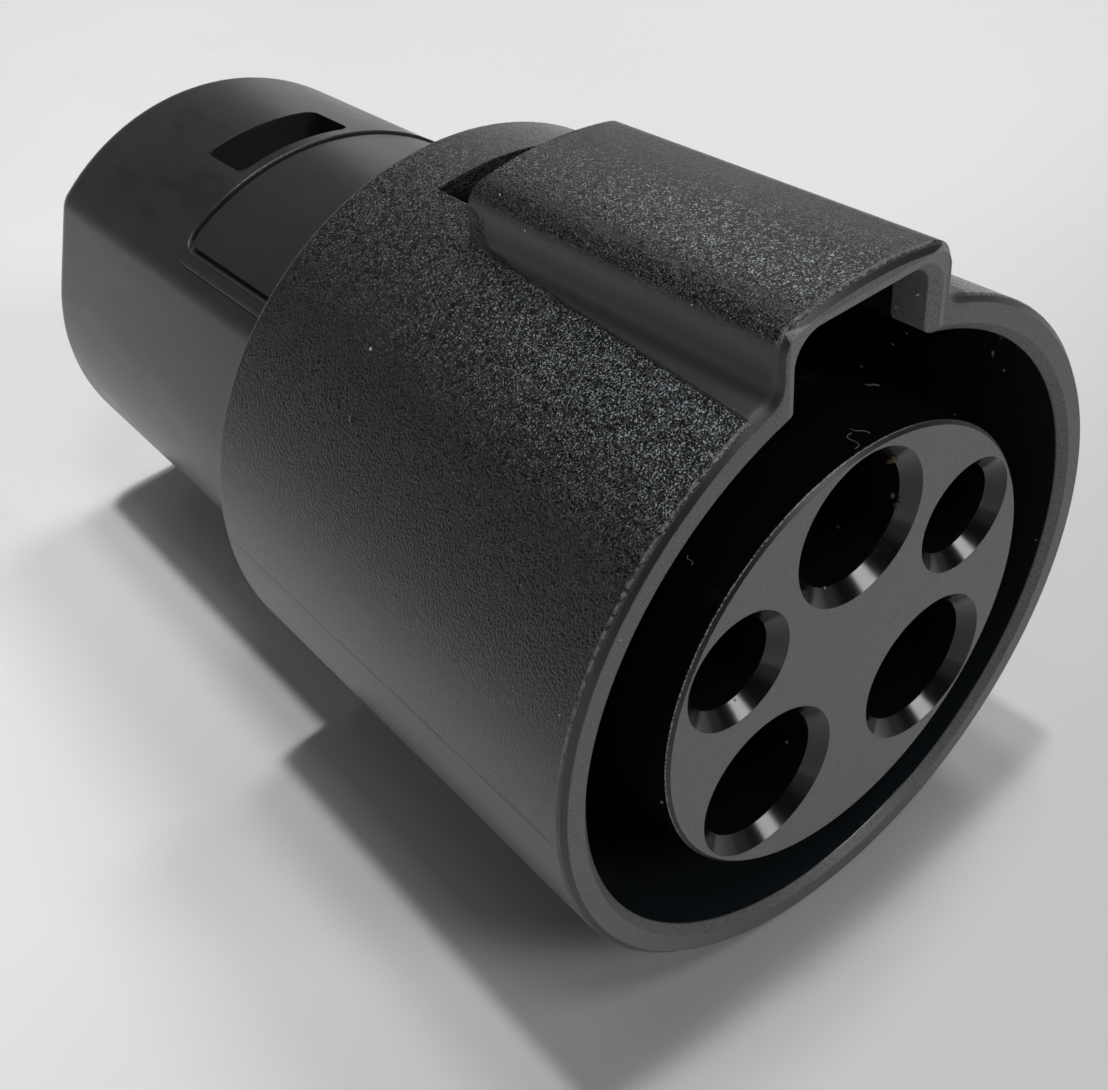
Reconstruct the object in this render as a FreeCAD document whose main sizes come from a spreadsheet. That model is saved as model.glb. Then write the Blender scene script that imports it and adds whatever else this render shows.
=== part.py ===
# Electric vehicle charging adapter, built as a parametric document.
#
# A round inlet at the front takes the charging cable's connector, and a plug body
# at the rear goes into the car. The five circuits run through: male pins in the
# boss at the front, a metal link each, and slotted sockets behind the rear holes.
#
# Frame: millimetres. The origin is the centre of the front rim on the inlet's axis.
# +Y runs along that axis from the rim to the plug's end, +Z points to the latch
# housing, and +X completes the set. The adapter lies on the shell's underside.

import FreeCAD, Part
import math
import os
import Sketcher

doc = FreeCAD.newDocument("charging_adapter")
sheet = doc.addObject("Spreadsheet::Sheet", "Sizes")


# Sizes

class Size:
    """A number together with the expression that ties it to the sheet."""

    def __init__(self, number, text):
        self.number = number
        self.text = text

    def joined(self, sign, other, number):
        text = other.text if isinstance(other, Size) else str(other)
        return Size(number, "(" + self.text + " " + sign + " " + text + ")")

    def __add__(self, other):
        return self.joined("+", other, self.number + plain(other))

    def __sub__(self, other):
        return self.joined("-", other, self.number - plain(other))

    def __mul__(self, other):
        return self.joined("*", other, self.number * plain(other))

    def __neg__(self):
        return Size(-self.number, "(0 - " + self.text + ")")

    def __radd__(self, other):
        return self + other

    def __rsub__(self, other):
        return -self + other


def plain(value):
    """The bare number of a size, or the number itself."""
    return value.number if isinstance(value, Size) else value


def size(alias, number, meaning):
    """Write one driving size into the next row of the sheet."""
    row = size.rows = size.rows + 1
    sheet.set("A" + str(row), meaning)
    sheet.set("B" + str(row), str(number))
    sheet.setAlias("B" + str(row), alias)
    return Size(float(number), "Sizes." + alias)


size.rows = 0

# The outer shell
shell_radius = size("shell_radius", 25.0, "outside of the shell")
shell_wall = size("shell_wall", 2.4, "wall of the shell round the channel")
shell_length = size("shell_length", 41.3, "rim to rear shoulder")
seat_depth = size("seat_depth", 6.15, "rear shoulder to the ledge that the inlet housing seats on")
thin_wall = size("thin_wall", 1.3, "wall of the shell behind the ledge")
rim_bevel = size("rim_bevel", 0.5, "bevel on the rim's outer edge")
rim_chamfer = size("rim_chamfer", 0.6, "chamfer on the rim's inner edge")
rest_flat = size("rest_flat", 2.5, "half the width of the flat along the underside")

# The latch housing on top of the shell
latch_half_width = size("latch_half_width", 7.3, "half the width of the latch housing")
latch_rise = size("latch_rise", 3.75, "roof above the outside of the shell")
latch_length = size("latch_length", 27.7, "rim to the rear end of the roof")
latch_corner = size("latch_corner", 2.0, "round along the roof's edges")
latch_foot = size("latch_foot", 1.2, "hollow round where the flanks meet the shell")
notch_half_width = size("notch_half_width", 5.6, "half the width of the notch")
roof_wall = size("roof_wall", 1.95, "wall of the roof over the notch")
notch_corner = size("notch_corner", 1.5, "round along the ceiling's edges")
notch_mouth = size("notch_mouth", 0.9, "round where the notch opens into the channel")
notch_lip = size("notch_lip", 3.0, "length of the narrow stretch behind the rim")
relief_step = size("relief_step", 0.6, "how much wider each side is behind the lip")
relief_drop = size("relief_drop", 1.8, "top of the wider stretch, under the notch's ceiling")
window_half_width = size("window_half_width", 4.6, "half the width of the window")

# The inlet housing
boss_radius = size("boss_radius", 16.85, "outside of the boss")
boss_proud = size("boss_proud", 0.4, "how far the boss stands in front of the rim")
boss_bevel = size("boss_bevel", 0.25, "bevel on the boss's edge")
floor_thickness = size("floor_thickness", 2.4, "floor of the ring channel")
lead_in = size("lead_in", 1.0, "countersink at the mouth of each contact hole")
line_hole = size("line_hole", 5.0, "radius of the two line holes")
ground_hole = size("ground_hole", 4.7, "radius of the ground hole")
signal_hole = size("signal_hole", 3.4, "radius of the two signal holes")
fit_gap = size("fit_gap", 0.1, "gap between nested mouldings")

# The front contact pattern
line_x = size("line_x", 7.85, "line contacts, off the middle plane")
line_z = size("line_z", -6.8, "line contacts, from the axis")
ground_z = size("ground_z", 10.75, "ground contact, from the axis")
signal_x = size("signal_x", 10.65, "signal contacts, off the middle plane")
signal_z = size("signal_z", 5.6, "signal contacts, from the axis")

# The rear contact pattern
rear_line_x = size("rear_line_x", 9.2, "rear line contacts, off the middle plane")
rear_line_z = size("rear_line_z", -5.5, "rear line contacts, from the axis")
rear_ground_z = size("rear_ground_z", 6.0, "rear ground contact, from the axis")
rear_signal_x = size("rear_signal_x", 8.6, "rear signal contacts, off the middle plane")
rear_signal_z = size("rear_signal_z", 5.2, "rear signal contacts, from the axis")

# The male pins
line_pin = size("line_pin", 1.8, "radius of a line pin")
ground_pin = size("ground_pin", 1.4, "radius of the ground pin")
signal_pin = size("signal_pin", 0.75, "radius of a signal pin")
line_tip = size("line_tip", 11.0, "rim to the tip of a line pin")
ground_tip = size("ground_tip", 9.5, "rim to the tip of the ground pin")
signal_tip = size("signal_tip", 12.5, "rim to the tip of a signal pin")
pin_nose = size("pin_nose", 0.4, "chamfer at a pin's tip")
pin_land = size("pin_land", 0.2, "how much thicker a pin is where it is pressed in")
collar_step = size("collar_step", 1.1, "how far a collar stands out")
collar_length = size("collar_length", 1.5, "length of a pin's collar")
slip = size("slip", 0.05, "radial gap of a metal piece in its hole")

# The retainer behind the pins
retainer_radius = size("retainer_radius", 15.6, "outside of the pin retainer")
retainer_thickness = size("retainer_thickness", 3.0, "thickness of the pin retainer")
screw_shank = size("screw_shank", 1.0, "radius of a screw's shank")
screw_head = size("screw_head", 2.0, "radius of a screw's head")
screw_head_height = size("screw_head_height", 1.5, "height of a screw's head")
screw_length = size("screw_length", 9.0, "length of a screw's shank")
drive_slot = size("drive_slot", 0.6, "width of the slot in a screw's head")
drive_depth = size("drive_depth", 0.8, "depth of that slot")
low_screw_z = size("low_screw_z", -11.9, "lower screw, from the axis")
side_screw_x = size("side_screw_x", 4.4, "side screws, off the middle plane")
side_screw_z = size("side_screw_z", 1.8, "side screws, from the axis")

# The links between the pins and the sockets
link_room = size("link_room", 3.05, "retainer to the links")
link_thickness = size("link_thickness", 5.2, "thickness of the links")
link_wall = size("link_wall", 1.0, "metal round each hole in a link")
link_seat = size("link_seat", 2.4, "how deep a tail sits in its link")
link_end_gap = size("link_end_gap", 0.1, "gap at the bottom of each hole in a link")

# The plug body
gasket_thickness = size("gasket_thickness", 1.0, "seal between the floor and the flange")
gasket_width = size("gasket_width", 2.4, "width of the seal")
nose_length = size("nose_length", 47.3, "rear shoulder to the plug's end")
plug_wall = size("plug_wall", 1.6, "side wall of the plug body")
end_wall = size("end_wall", 3.0, "end wall of the plug body")
plug_top_radius = size("plug_top_radius", 23.6, "radius of the plug's flatter top")
plug_top_height = size("plug_top_height", 18.2, "axis to the plug's top")
plug_low_radius = size("plug_low_radius", 20.2, "radius of the plug's round underside")
underside_step = size("underside_step", 0.1, "flange's edge to the plug's underside")
flank_lean = size("flank_lean", 19.0, "lean of the flanks, in degrees")
shoulder_round = size("shoulder_round", 3.2, "round where the flanks meet the top")
end_round = size("end_round", 3.0, "round on the plug's end")
hole_margin = size("hole_margin", 0.5, "rear holes, wider than the sockets' bores by")
hole_sink = size("hole_sink", 0.6, "countersink at the rear holes")

# The lock slot and the label place on top of the plug body
slot_distance = size("slot_distance", 23.7, "rear shoulder to the lock slot")
slot_length = size("slot_length", 6.6, "lock slot along the axis")
slot_half_width = size("slot_half_width", 6.0, "half the width of the lock slot")
slot_depth = size("slot_depth", 4.0, "plug's top to the lock slot's floor")
slot_round = size("slot_round", 1.0, "round in the lock slot's corners")
well_wall = size("well_wall", 0.8, "wall of the well round the lock slot")
label_distance = size("label_distance", 2.1, "rear shoulder to the label")
label_length = size("label_length", 19.6, "label along the axis")
label_half_width = size("label_half_width", 13.3, "half the width of the label")
label_round = size("label_round", 1.2, "round on the label's corners")
label_thickness = size("label_thickness", 0.4, "thickness of the label plate")
recess_depth = size("recess_depth", 0.55, "depth of the label recess")
recess_border = size("recess_border", 0.45, "gap between the label and its recess")

# The sockets
line_bore = size("line_bore", 3.9, "bore radius of a line socket")
ground_bore = size("ground_bore", 2.5, "bore radius of the ground socket")
signal_bore = size("signal_bore", 1.3, "bore radius of a signal socket")
line_barrel = size("line_barrel", 4.4, "outside of a line socket")
ground_barrel = size("ground_barrel", 3.0, "outside of the ground socket")
signal_barrel = size("signal_barrel", 1.75, "outside of a signal socket")
line_tail = size("line_tail", 1.6, "radius of a line socket's tail")
ground_tail = size("ground_tail", 1.4, "radius of the ground socket's tail")
signal_tail = size("signal_tail", 0.9, "radius of a signal socket's tail")
socket_floor = size("socket_floor", 1.6, "metal between a bore's bottom and the collar")
socket_collar = size("socket_collar", 1.6, "length of a socket's collar")
socket_collar_step = size("socket_collar_step", 0.7, "how far that collar stands out")
bore_depth = size("bore_depth", 23.4, "depth of a socket's bore")
bore_lead = size("bore_lead", 0.3, "chamfer at a socket's mouth")
finger_length = size("finger_length", 13.0, "length of the slotted fingers")
slit_base = size("slit_base", 0.06, "half the width of a slit, the same for every socket")
slit_growth = size("slit_growth", 0.1, "what a slit gains for each millimetre of bore")
carrier_plate = size("carrier_plate", 3.0, "thickness of the carrier's plate")
carrier_grip = size("carrier_grip", 6.0, "stretch that grips each socket")
sleeve_wall = size("sleeve_wall", 0.7, "wall of the sleeve round each socket")
carrier_gap = size("carrier_gap", 0.15, "gap between the carrier and the plug's wall")
band_thickness = size("band_thickness", 0.4, "thickness of a spring band")
band_width = size("band_width", 3.0, "width of a spring band")
band_inset = size("band_inset", 4.0, "spring band, from the socket's mouth")
band_slip = size("band_slip", 0.03, "gap between a band and its socket")

doc.recompute()

# Stations along the axis that several pieces share
ledge_at = shell_length - seat_depth
floor_rear = ledge_at + floor_thickness
flange_at = floor_rear + gasket_thickness
retainer_rear = floor_rear + retainer_thickness
link_at = retainer_rear + link_room
link_rear = link_at + link_thickness
plug_end = shell_length + nose_length
socket_mouth = plug_end - end_wall
carrier_at = socket_mouth - bore_depth - socket_floor
label_from = shell_length + label_distance
label_to = label_from + label_length
slot_from = shell_length + slot_distance
slot_to = slot_from + slot_length

# Radii and heights that several pieces share
latch_radius = shell_radius + latch_rise
notch_ceiling = latch_radius - roof_wall
seat_radius = shell_radius - thin_wall
part_radius = seat_radius - fit_gap
plug_low_drop = part_radius - plug_low_radius - underside_step
slot_floor = plug_top_height - slot_depth


# Building blocks

ALONG_AXIS = FreeCAD.Rotation(FreeCAD.Vector(1, 0, 0), -90)

# How far a cutting tool reaches past the surface that it cuts
OVERCUT = 1.0


def tie(obj, prop, value):
    """Bind a property to the sheet, or set it where the value is a bare number."""
    if isinstance(value, Size):
        obj.setExpression(prop, value.text)
    else:
        obj.setExpression(prop, str(value))


def rod(name, radius, start, end, x=0.0, z=0.0):
    """A cylinder along the axis from one station to another."""
    obj = doc.addObject("Part::Cylinder", name)
    obj.Placement = FreeCAD.Placement(FreeCAD.Vector(0, 0, 0), ALONG_AXIS)
    tie(obj, "Radius", radius)
    tie(obj, "Height", end - start)
    tie(obj, "Placement.Base.x", x)
    tie(obj, "Placement.Base.y", start)
    tie(obj, "Placement.Base.z", z)
    return obj


def taper(name, front_radius, rear_radius, start, end, x=0.0, z=0.0):
    """A cone along the axis from one station to another."""
    obj = doc.addObject("Part::Cone", name)
    obj.Placement = FreeCAD.Placement(FreeCAD.Vector(0, 0, 0), ALONG_AXIS)
    tie(obj, "Radius1", front_radius)
    tie(obj, "Radius2", rear_radius)
    tie(obj, "Height", end - start)
    tie(obj, "Placement.Base.x", x)
    tie(obj, "Placement.Base.y", start)
    tie(obj, "Placement.Base.z", z)
    return obj


def block(name, half_width, start, end, low, high, x=0.0):
    """A box centred on x, from one station to another, between two heights."""
    obj = doc.addObject("Part::Box", name)
    tie(obj, "Length", half_width * 2)
    tie(obj, "Width", end - start)
    tie(obj, "Height", high - low)
    tie(obj, "Placement.Base.x", -half_width + x)
    tie(obj, "Placement.Base.y", start)
    tie(obj, "Placement.Base.z", low)
    return obj


def joined(name, pieces):
    """One solid of several overlapping pieces."""
    obj = doc.addObject("Part::MultiFuse", name)
    obj.Shapes = pieces
    obj.Refine = True
    return obj


def cut(name, base, tool):
    """The base with the tool taken out of it."""
    obj = doc.addObject("Part::Cut", name)
    obj.Base = base
    obj.Tool = tool
    obj.Refine = True
    return obj


def shared(name, first, second):
    """What two pieces have in common."""
    obj = doc.addObject("Part::MultiCommon", name)
    obj.Shapes = [first, second]
    obj.Refine = True
    return obj


def edges_where(obj, test):
    """The numbers of a shape's edges for which the test holds."""
    doc.recompute()
    return [n + 1 for n, edge in enumerate(obj.Shape.Edges) if test(edge)]


def rounded(name, base, radius, test, kind="Part::Fillet"):
    """The base with the chosen edges rounded, or chamfered."""
    obj = doc.addObject(kind, name)
    obj.Base = base
    amount = plain(radius)
    obj.Edges = [(n, amount, amount) for n in edges_where(base, test)]
    return obj


def middle_of(edge):
    """An edge's centre, rounded so that the same edge is found again."""
    at = edge.CenterOfMass
    return (round(at.x, 3), round(at.y, 3), round(at.z, 3))


def points_of(edge):
    """Five points along an edge."""
    first, last = edge.ParameterRange
    return [edge.valueAt(first + (last - first) * n / 4) for n in range(5)]


def at_station(edge, station):
    """Does the edge lie in the plane at a station?"""
    return all(abs(p.y - plain(station)) < 0.001 for p in points_of(edge))


def outline(body, name, corners):
    """A closed sketch of straight lines on the YZ plane, each corner tied to the sheet."""
    sketch = body.newObject("Sketcher::SketchObject", name)
    plane = [f for f in body.Origin.OriginFeatures if f.Role == "YZ_Plane"][0]
    sketch.AttachmentSupport = [(plane, "")]
    sketch.MapMode = "FlatFace"
    spots = [FreeCAD.Vector(plain(u), plain(v), 0) for u, v in corners]
    count = len(spots)
    for n in range(count):
        sketch.addGeometry(Part.LineSegment(spots[n], spots[(n + 1) % count]), False)
    for n in range(count):
        sketch.addConstraint(Sketcher.Constraint("Coincident", n, 2, (n + 1) % count, 1))
    for n, (u, v) in enumerate(corners):
        for kind, value in (("DistanceX", u), ("DistanceY", v)):
            index = sketch.addConstraint(
                Sketcher.Constraint(kind, -1, 1, n, 1, plain(value)))
            if isinstance(value, Size):
                sketch.setExpression("Constraints[" + str(index) + "]", value.text)
    return sketch


def turned(name, corners, x=0.0, z=0.0):
    """A turned piece: a half profile of (station, radius) corners spun about its own axis."""
    body = doc.addObject("PartDesign::Body", name)
    sketch = outline(body, name + "_profile", corners)
    spin = body.newObject("PartDesign::Revolution", name + "_turning")
    spin.Profile = sketch
    spin.ReferenceAxis = (sketch, ["H_Axis"])
    spin.Angle = 360.0
    tie(body, "Placement.Base.x", x)
    tie(body, "Placement.Base.z", z)
    return body


# The five circuits, each with its places and sizes at both ends

def circuit(name, front, rear, hole, pin, tip, bore, barrel, tail, cuts):
    return {"name": name, "front": front, "rear": rear, "hole": hole, "pin": pin,
            "tip": tip, "bore": bore, "barrel": barrel, "tail": tail, "cuts": cuts}


CIRCUITS = [
    circuit("line_left", (-line_x, line_z), (-rear_line_x, rear_line_z),
            line_hole, line_pin, line_tip, line_bore, line_barrel, line_tail, 2),
    circuit("line_right", (line_x, line_z), (rear_line_x, rear_line_z),
            line_hole, line_pin, line_tip, line_bore, line_barrel, line_tail, 2),
    circuit("ground", (0.0, ground_z), (0.0, rear_ground_z),
            ground_hole, ground_pin, ground_tip, ground_bore, ground_barrel, ground_tail, 2),
    circuit("pilot", (-signal_x, signal_z), (-rear_signal_x, rear_signal_z),
            signal_hole, signal_pin, signal_tip, signal_bore, signal_barrel, signal_tail, 1),
    circuit("proximity", (signal_x, signal_z), (rear_signal_x, rear_signal_z),
            signal_hole, signal_pin, signal_tip, signal_bore, signal_barrel, signal_tail, 1),
]

SCREWS = [("low", 0.0, low_screw_z),
          ("left", -side_screw_x, side_screw_z),
          ("right", side_screw_x, side_screw_z)]

FINISHED = {}


def finish(node, obj):
    """Give a finished piece its node's name."""
    obj.Label = node
    FINISHED[node] = obj
    return obj


# Outlines across the axis

def cross_sketch(body, name, station):
    """An empty sketch across the axis at a station, x to the right and z up."""
    sketch = body.newObject("Sketcher::SketchObject", name)
    plane = [f for f in body.Origin.OriginFeatures if f.Role == "XZ_Plane"][0]
    sketch.AttachmentSupport = [(plane, "")]
    sketch.MapMode = "FlatFace"
    tie(sketch, "AttachmentOffset.Base.z", -station)
    return sketch


def held(sketch, constraint, value):
    """Add a constraint whose amount is tied to the sheet."""
    index = sketch.addConstraint(constraint)
    if isinstance(value, Size):
        sketch.setExpression("Constraints[" + str(index) + "]", value.text)


def swept(body, name, sketch, length):
    """Pad a cross sketch towards the rear."""
    pad = body.newObject("PartDesign::Pad", name)
    pad.Profile = sketch
    pad.Reversed = True
    tie(pad, "Length", length)
    return body


def plug_prism(name, inset, start, end):
    """The plug's section, smaller all round by the inset, from one station to another.

    A flatter arc closes the top, a round one the underside, and two leaning flanks
    that are tangent to the underside run up to the top arc.
    """
    body = doc.addObject("PartDesign::Body", name)
    sketch = cross_sketch(body, name + "_section", start)
    top_centre = plug_top_height - plug_top_radius
    top_radius = plug_top_radius - inset
    low_radius = plug_low_radius - inset
    lean = math.radians(plain(flank_lean))
    low_z = -plain(plug_low_drop)
    touch = (plain(low_radius) * math.cos(lean), low_z + plain(low_radius) * math.sin(lean))
    rise = (-math.sin(lean), math.cos(lean))
    away = (touch[0], touch[1] - plain(top_centre))
    half = away[0] * rise[0] + away[1] * rise[1]
    rest = away[0] ** 2 + away[1] ** 2 - plain(top_radius) ** 2
    reach = -half + math.sqrt(half ** 2 - rest)
    corner = (touch[0] + reach * rise[0], touch[1] + reach * rise[1])
    swing = math.atan2(corner[1] - plain(top_centre), corner[0])
    across = FreeCAD.Vector(0, 0, 1)
    top = Part.Circle(FreeCAD.Vector(0, plain(top_centre), 0), across, plain(top_radius))
    low = Part.Circle(FreeCAD.Vector(0, low_z, 0), across, plain(low_radius))
    sketch.addGeometry(Part.ArcOfCircle(top, swing, math.pi - swing), False)
    sketch.addGeometry(Part.LineSegment(FreeCAD.Vector(-corner[0], corner[1], 0),
                                        FreeCAD.Vector(-touch[0], touch[1], 0)), False)
    sketch.addGeometry(Part.ArcOfCircle(low, math.pi - lean, 2 * math.pi + lean), False)
    sketch.addGeometry(Part.LineSegment(FreeCAD.Vector(touch[0], touch[1], 0),
                                        FreeCAD.Vector(corner[0], corner[1], 0)), False)
    sketch.addConstraint(Sketcher.Constraint("Coincident", 0, 2, 1, 1))
    sketch.addConstraint(Sketcher.Constraint("Tangent", 1, 2, 2, 1))
    sketch.addConstraint(Sketcher.Constraint("Tangent", 2, 2, 3, 1))
    sketch.addConstraint(Sketcher.Constraint("Coincident", 3, 2, 0, 1))
    sketch.addConstraint(Sketcher.Constraint("PointOnObject", 0, 3, -2))
    sketch.addConstraint(Sketcher.Constraint("PointOnObject", 2, 3, -2))
    sketch.addConstraint(Sketcher.Constraint("Symmetric", 0, 1, 0, 2, -2))
    held(sketch, Sketcher.Constraint("Radius", 0, plain(top_radius)), top_radius)
    held(sketch, Sketcher.Constraint("Radius", 2, plain(low_radius)), low_radius)
    held(sketch, Sketcher.Constraint("DistanceY", -1, 1, 0, 3, plain(top_centre)), top_centre)
    held(sketch, Sketcher.Constraint("DistanceY", -1, 1, 2, 3, low_z), -plug_low_drop)
    turn = Size(math.pi / 2 + lean, "(Sizes.flank_lean + 90) * 1 deg")
    held(sketch, Sketcher.Constraint("Angle", 3, plain(turn)), turn)
    return swept(body, name + "_length", sketch, end - start)


def link_prism(name, front, rear, radius, start, end):
    """A long-hole shape round two axes, from one station to another."""
    body = doc.addObject("PartDesign::Body", name)
    sketch = cross_sketch(body, name + "_section", start)
    a = FreeCAD.Vector(plain(front[0]), plain(front[1]), 0)
    b = FreeCAD.Vector(plain(rear[0]), plain(rear[1]), 0)
    heading = math.atan2(b.y - a.y, b.x - a.x)
    side = FreeCAD.Vector(-math.sin(heading), math.cos(heading), 0) * plain(radius)
    across = FreeCAD.Vector(0, 0, 1)
    quarter = math.pi / 2
    near = Part.Circle(a, across, plain(radius))
    far = Part.Circle(b, across, plain(radius))
    sketch.addGeometry(Part.ArcOfCircle(near, heading + quarter, heading + 3 * quarter), False)
    sketch.addGeometry(Part.LineSegment(a - side, b - side), False)
    sketch.addGeometry(Part.ArcOfCircle(far, heading - quarter, heading + quarter), False)
    sketch.addGeometry(Part.LineSegment(b + side, a + side), False)
    for n in range(4):
        sketch.addConstraint(Sketcher.Constraint("Tangent", n, 2, (n + 1) % 4, 1))
    sketch.addConstraint(Sketcher.Constraint("Equal", 0, 2))
    for n, spot in ((0, front), (2, rear)):
        for kind, value in (("DistanceX", spot[0]), ("DistanceY", spot[1])):
            held(sketch, Sketcher.Constraint(kind, -1, 1, n, 3, plain(value)), value)
    held(sketch, Sketcher.Constraint("Radius", 0, plain(radius)), radius)
    return swept(body, name + "_length", sketch, end - start)


# The outer shell: a ring with the latch housing on top, the notch and the window

def free_sketch(name, station):
    """An empty sketch across the axis that belongs to no body."""
    sketch = doc.addObject("Sketcher::SketchObject", name)
    upright = FreeCAD.Rotation(FreeCAD.Vector(1, 0, 0), 90)
    sketch.Placement = FreeCAD.Placement(FreeCAD.Vector(0, 0, 0), upright)
    tie(sketch, "Placement.Base.y", station)
    return sketch


def arch(name, station, half_width, top, top_arc, corner, foot, ring):
    """An arch that stands on a round wall.

    Two upright flanks rise from the ring's circle, each with a hollow round at its
    foot that is tangent to the flank and to the circle. Rounded corners lead to the
    top, which is an arc about the axis, or flat.
    """
    sketch = free_sketch(name, station)
    w, r, f, c = plain(half_width), plain(ring), plain(foot), plain(corner)
    foot_z = math.sqrt((r + f) ** 2 - (w + f) ** 2)
    foot_turn = math.atan2(foot_z, w + f)
    across = FreeCAD.Vector(0, 0, 1)
    if top_arc:
        corner_z = math.sqrt((plain(top) - c) ** 2 - (w - c) ** 2)
        corner_turn = math.atan2(corner_z, w - c)
        circle = Part.Circle(FreeCAD.Vector(0, 0, 0), across, plain(top))
        roof = Part.ArcOfCircle(circle, corner_turn, math.pi - corner_turn)
    else:
        corner_z = plain(top) - c
        corner_turn = math.pi / 2
        roof = Part.LineSegment(FreeCAD.Vector(w - c, plain(top), 0),
                                FreeCAD.Vector(c - w, plain(top), 0))

    def round_at(x, z, radius, start, end):
        centre = FreeCAD.Vector(x, z, 0)
        return Part.ArcOfCircle(Part.Circle(centre, across, radius), start, end)

    touch = FreeCAD.Vector(w + f, foot_z, 0) * (r / (r + f))
    sketch.addGeometry(roof, False)
    sketch.addGeometry(round_at(c - w, corner_z, c, math.pi - corner_turn, math.pi), False)
    sketch.addGeometry(Part.LineSegment(FreeCAD.Vector(-w, corner_z, 0),
                                        FreeCAD.Vector(-w, foot_z, 0)), False)
    sketch.addGeometry(round_at(-w - f, foot_z, f, -foot_turn, 0.0), False)
    sketch.addGeometry(Part.LineSegment(FreeCAD.Vector(-touch.x, touch.y, 0), touch), False)
    sketch.addGeometry(round_at(w + f, foot_z, f, math.pi, math.pi + foot_turn), False)
    sketch.addGeometry(Part.LineSegment(FreeCAD.Vector(w, foot_z, 0),
                                        FreeCAD.Vector(w, corner_z, 0)), False)
    sketch.addGeometry(round_at(w - c, corner_z, c, 0.0, corner_turn), False)
    wall = Part.Circle(FreeCAD.Vector(0, 0, 0), across, r)
    sketch.addGeometry(wall, True)
    ties = [("Tangent", 0, 2, 1, 1), ("Tangent", 1, 2, 2, 1), ("Tangent", 2, 2, 3, 2),
            ("Coincident", 3, 1, 4, 1), ("Coincident", 4, 2, 5, 2), ("Tangent", 5, 1, 6, 1),
            ("Tangent", 6, 2, 7, 1), ("Tangent", 7, 2, 0, 1), ("Coincident", 8, 3, -1, 1),
            ("Vertical", 2), ("Vertical", 6), ("Symmetric", 2, 1, 6, 2, -2),
            ("Equal", 3, 5), ("Tangent", 3, 1, 8), ("Tangent", 5, 2, 8)]
    ties.append(("Coincident", 0, 3, -1, 1) if top_arc else ("Horizontal", 0))
    for one in ties:
        sketch.addConstraint(Sketcher.Constraint(*one))
    held(sketch, Sketcher.Constraint("DistanceX", -1, 1, 6, 2, w), half_width)
    held(sketch, Sketcher.Constraint("Radius", 1, c), corner)
    held(sketch, Sketcher.Constraint("Radius", 3, f), foot)
    held(sketch, Sketcher.Constraint("Radius", 8, r), ring)
    if top_arc:
        held(sketch, Sketcher.Constraint("Radius", 0, plain(top)), top)
    else:
        held(sketch, Sketcher.Constraint("DistanceY", -1, 1, 0, 1, plain(top)), top)
    return sketch


def run(name, section, length):
    """A section carried straight towards the rear."""
    obj = doc.addObject("Part::Extrusion", name)
    obj.Base = section
    obj.DirMode = "Custom"
    obj.Dir = FreeCAD.Vector(0, 1, 0)
    obj.Solid = True
    tie(obj, "LengthFwd", length)
    return obj


def make_shell():
    bore_radius = shell_radius - shell_wall
    housing = run("latch_housing",
                  arch("latch_section", 0.0, latch_half_width, latch_radius, True,
                       latch_corner, latch_foot, shell_radius), latch_length)
    notch = run("notch",
                arch("notch_section", 0.0, notch_half_width, notch_ceiling, False,
                     notch_corner, notch_mouth, bore_radius), latch_length)
    outside = joined("shell_outside", [rod("ring", shell_radius, 0.0, shell_length), housing])
    inside = joined("shell_inside", [
        rod("channel_bore", bore_radius, 0.0, ledge_at),
        rod("seat_bore", seat_radius, ledge_at, shell_length),
        notch,
        block("notch_relief", notch_half_width + relief_step, notch_lip, latch_length,
              0.0, notch_ceiling - relief_drop),
        block("window", window_half_width, latch_length, ledge_at, 0.0, latch_radius),
    ])
    shell = cut("shell_hollow", outside, inside)
    doc.recompute()
    front = [f for f in shell.Shape.Faces if all(at_station(e, 0.0) for e in f.Edges)]
    rim = max(front, key=lambda face: face.Area)
    outer = [middle_of(e) for e in rim.OuterWire.Edges]
    inner = [middle_of(e) for w in rim.Wires for e in w.Edges if middle_of(e) not in outer]
    shell = rounded("shell_rim_bevel", shell, rim_bevel, lambda e: middle_of(e) in outer,
                    "Part::Chamfer")
    shell = rounded("shell_rim_chamfer", shell, rim_chamfer, lambda e: middle_of(e) in inner,
                    "Part::Chamfer")
    ground = Size(-math.sqrt(plain(shell_radius) ** 2 - plain(rest_flat) ** 2),
                  "(0 - sqrt(Sizes.shell_radius ^ 2 - Sizes.rest_flat ^ 2))")
    under = block("underside", shell_radius, 0.0, shell_length, -shell_radius - OVERCUT, ground)
    return cut("shell_with_flat", shell, under)


finish("outer_shell", make_shell())


# The inlet housing: a round boss with the five contact holes, on a round floor

def make_inlet_housing():
    face = -boss_proud
    boss = rounded("boss", rod("boss_rod", boss_radius, face, floor_rear), boss_bevel,
                   lambda edge: at_station(edge, face), "Part::Chamfer")
    solid = joined("inlet_solid", [boss, rod("inlet_floor", part_radius, ledge_at, floor_rear)])
    away = []
    for c in CIRCUITS:
        name = c["name"]
        away.append(rod(name + "_hole", c["hole"], face, ledge_at, *c["front"]))
        away.append(taper(name + "_lead_in", c["hole"] + lead_in, c["hole"],
                          face, face + lead_in, *c["front"]))
        away.append(rod(name + "_pin_seat", c["pin"] + pin_land + slip,
                        ledge_at, floor_rear, *c["front"]))
    for side, x, z in SCREWS:
        away.append(rod(side + "_pilot", screw_shank + slip,
                        retainer_rear - screw_length - fit_gap, floor_rear, x, z))
    return cut("inlet_housing_cut", solid, joined("inlet_away", away))


finish("inlet_housing", make_inlet_housing())


# The male pins: a working length in the boss, a pressed land, a collar and a tail

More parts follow.
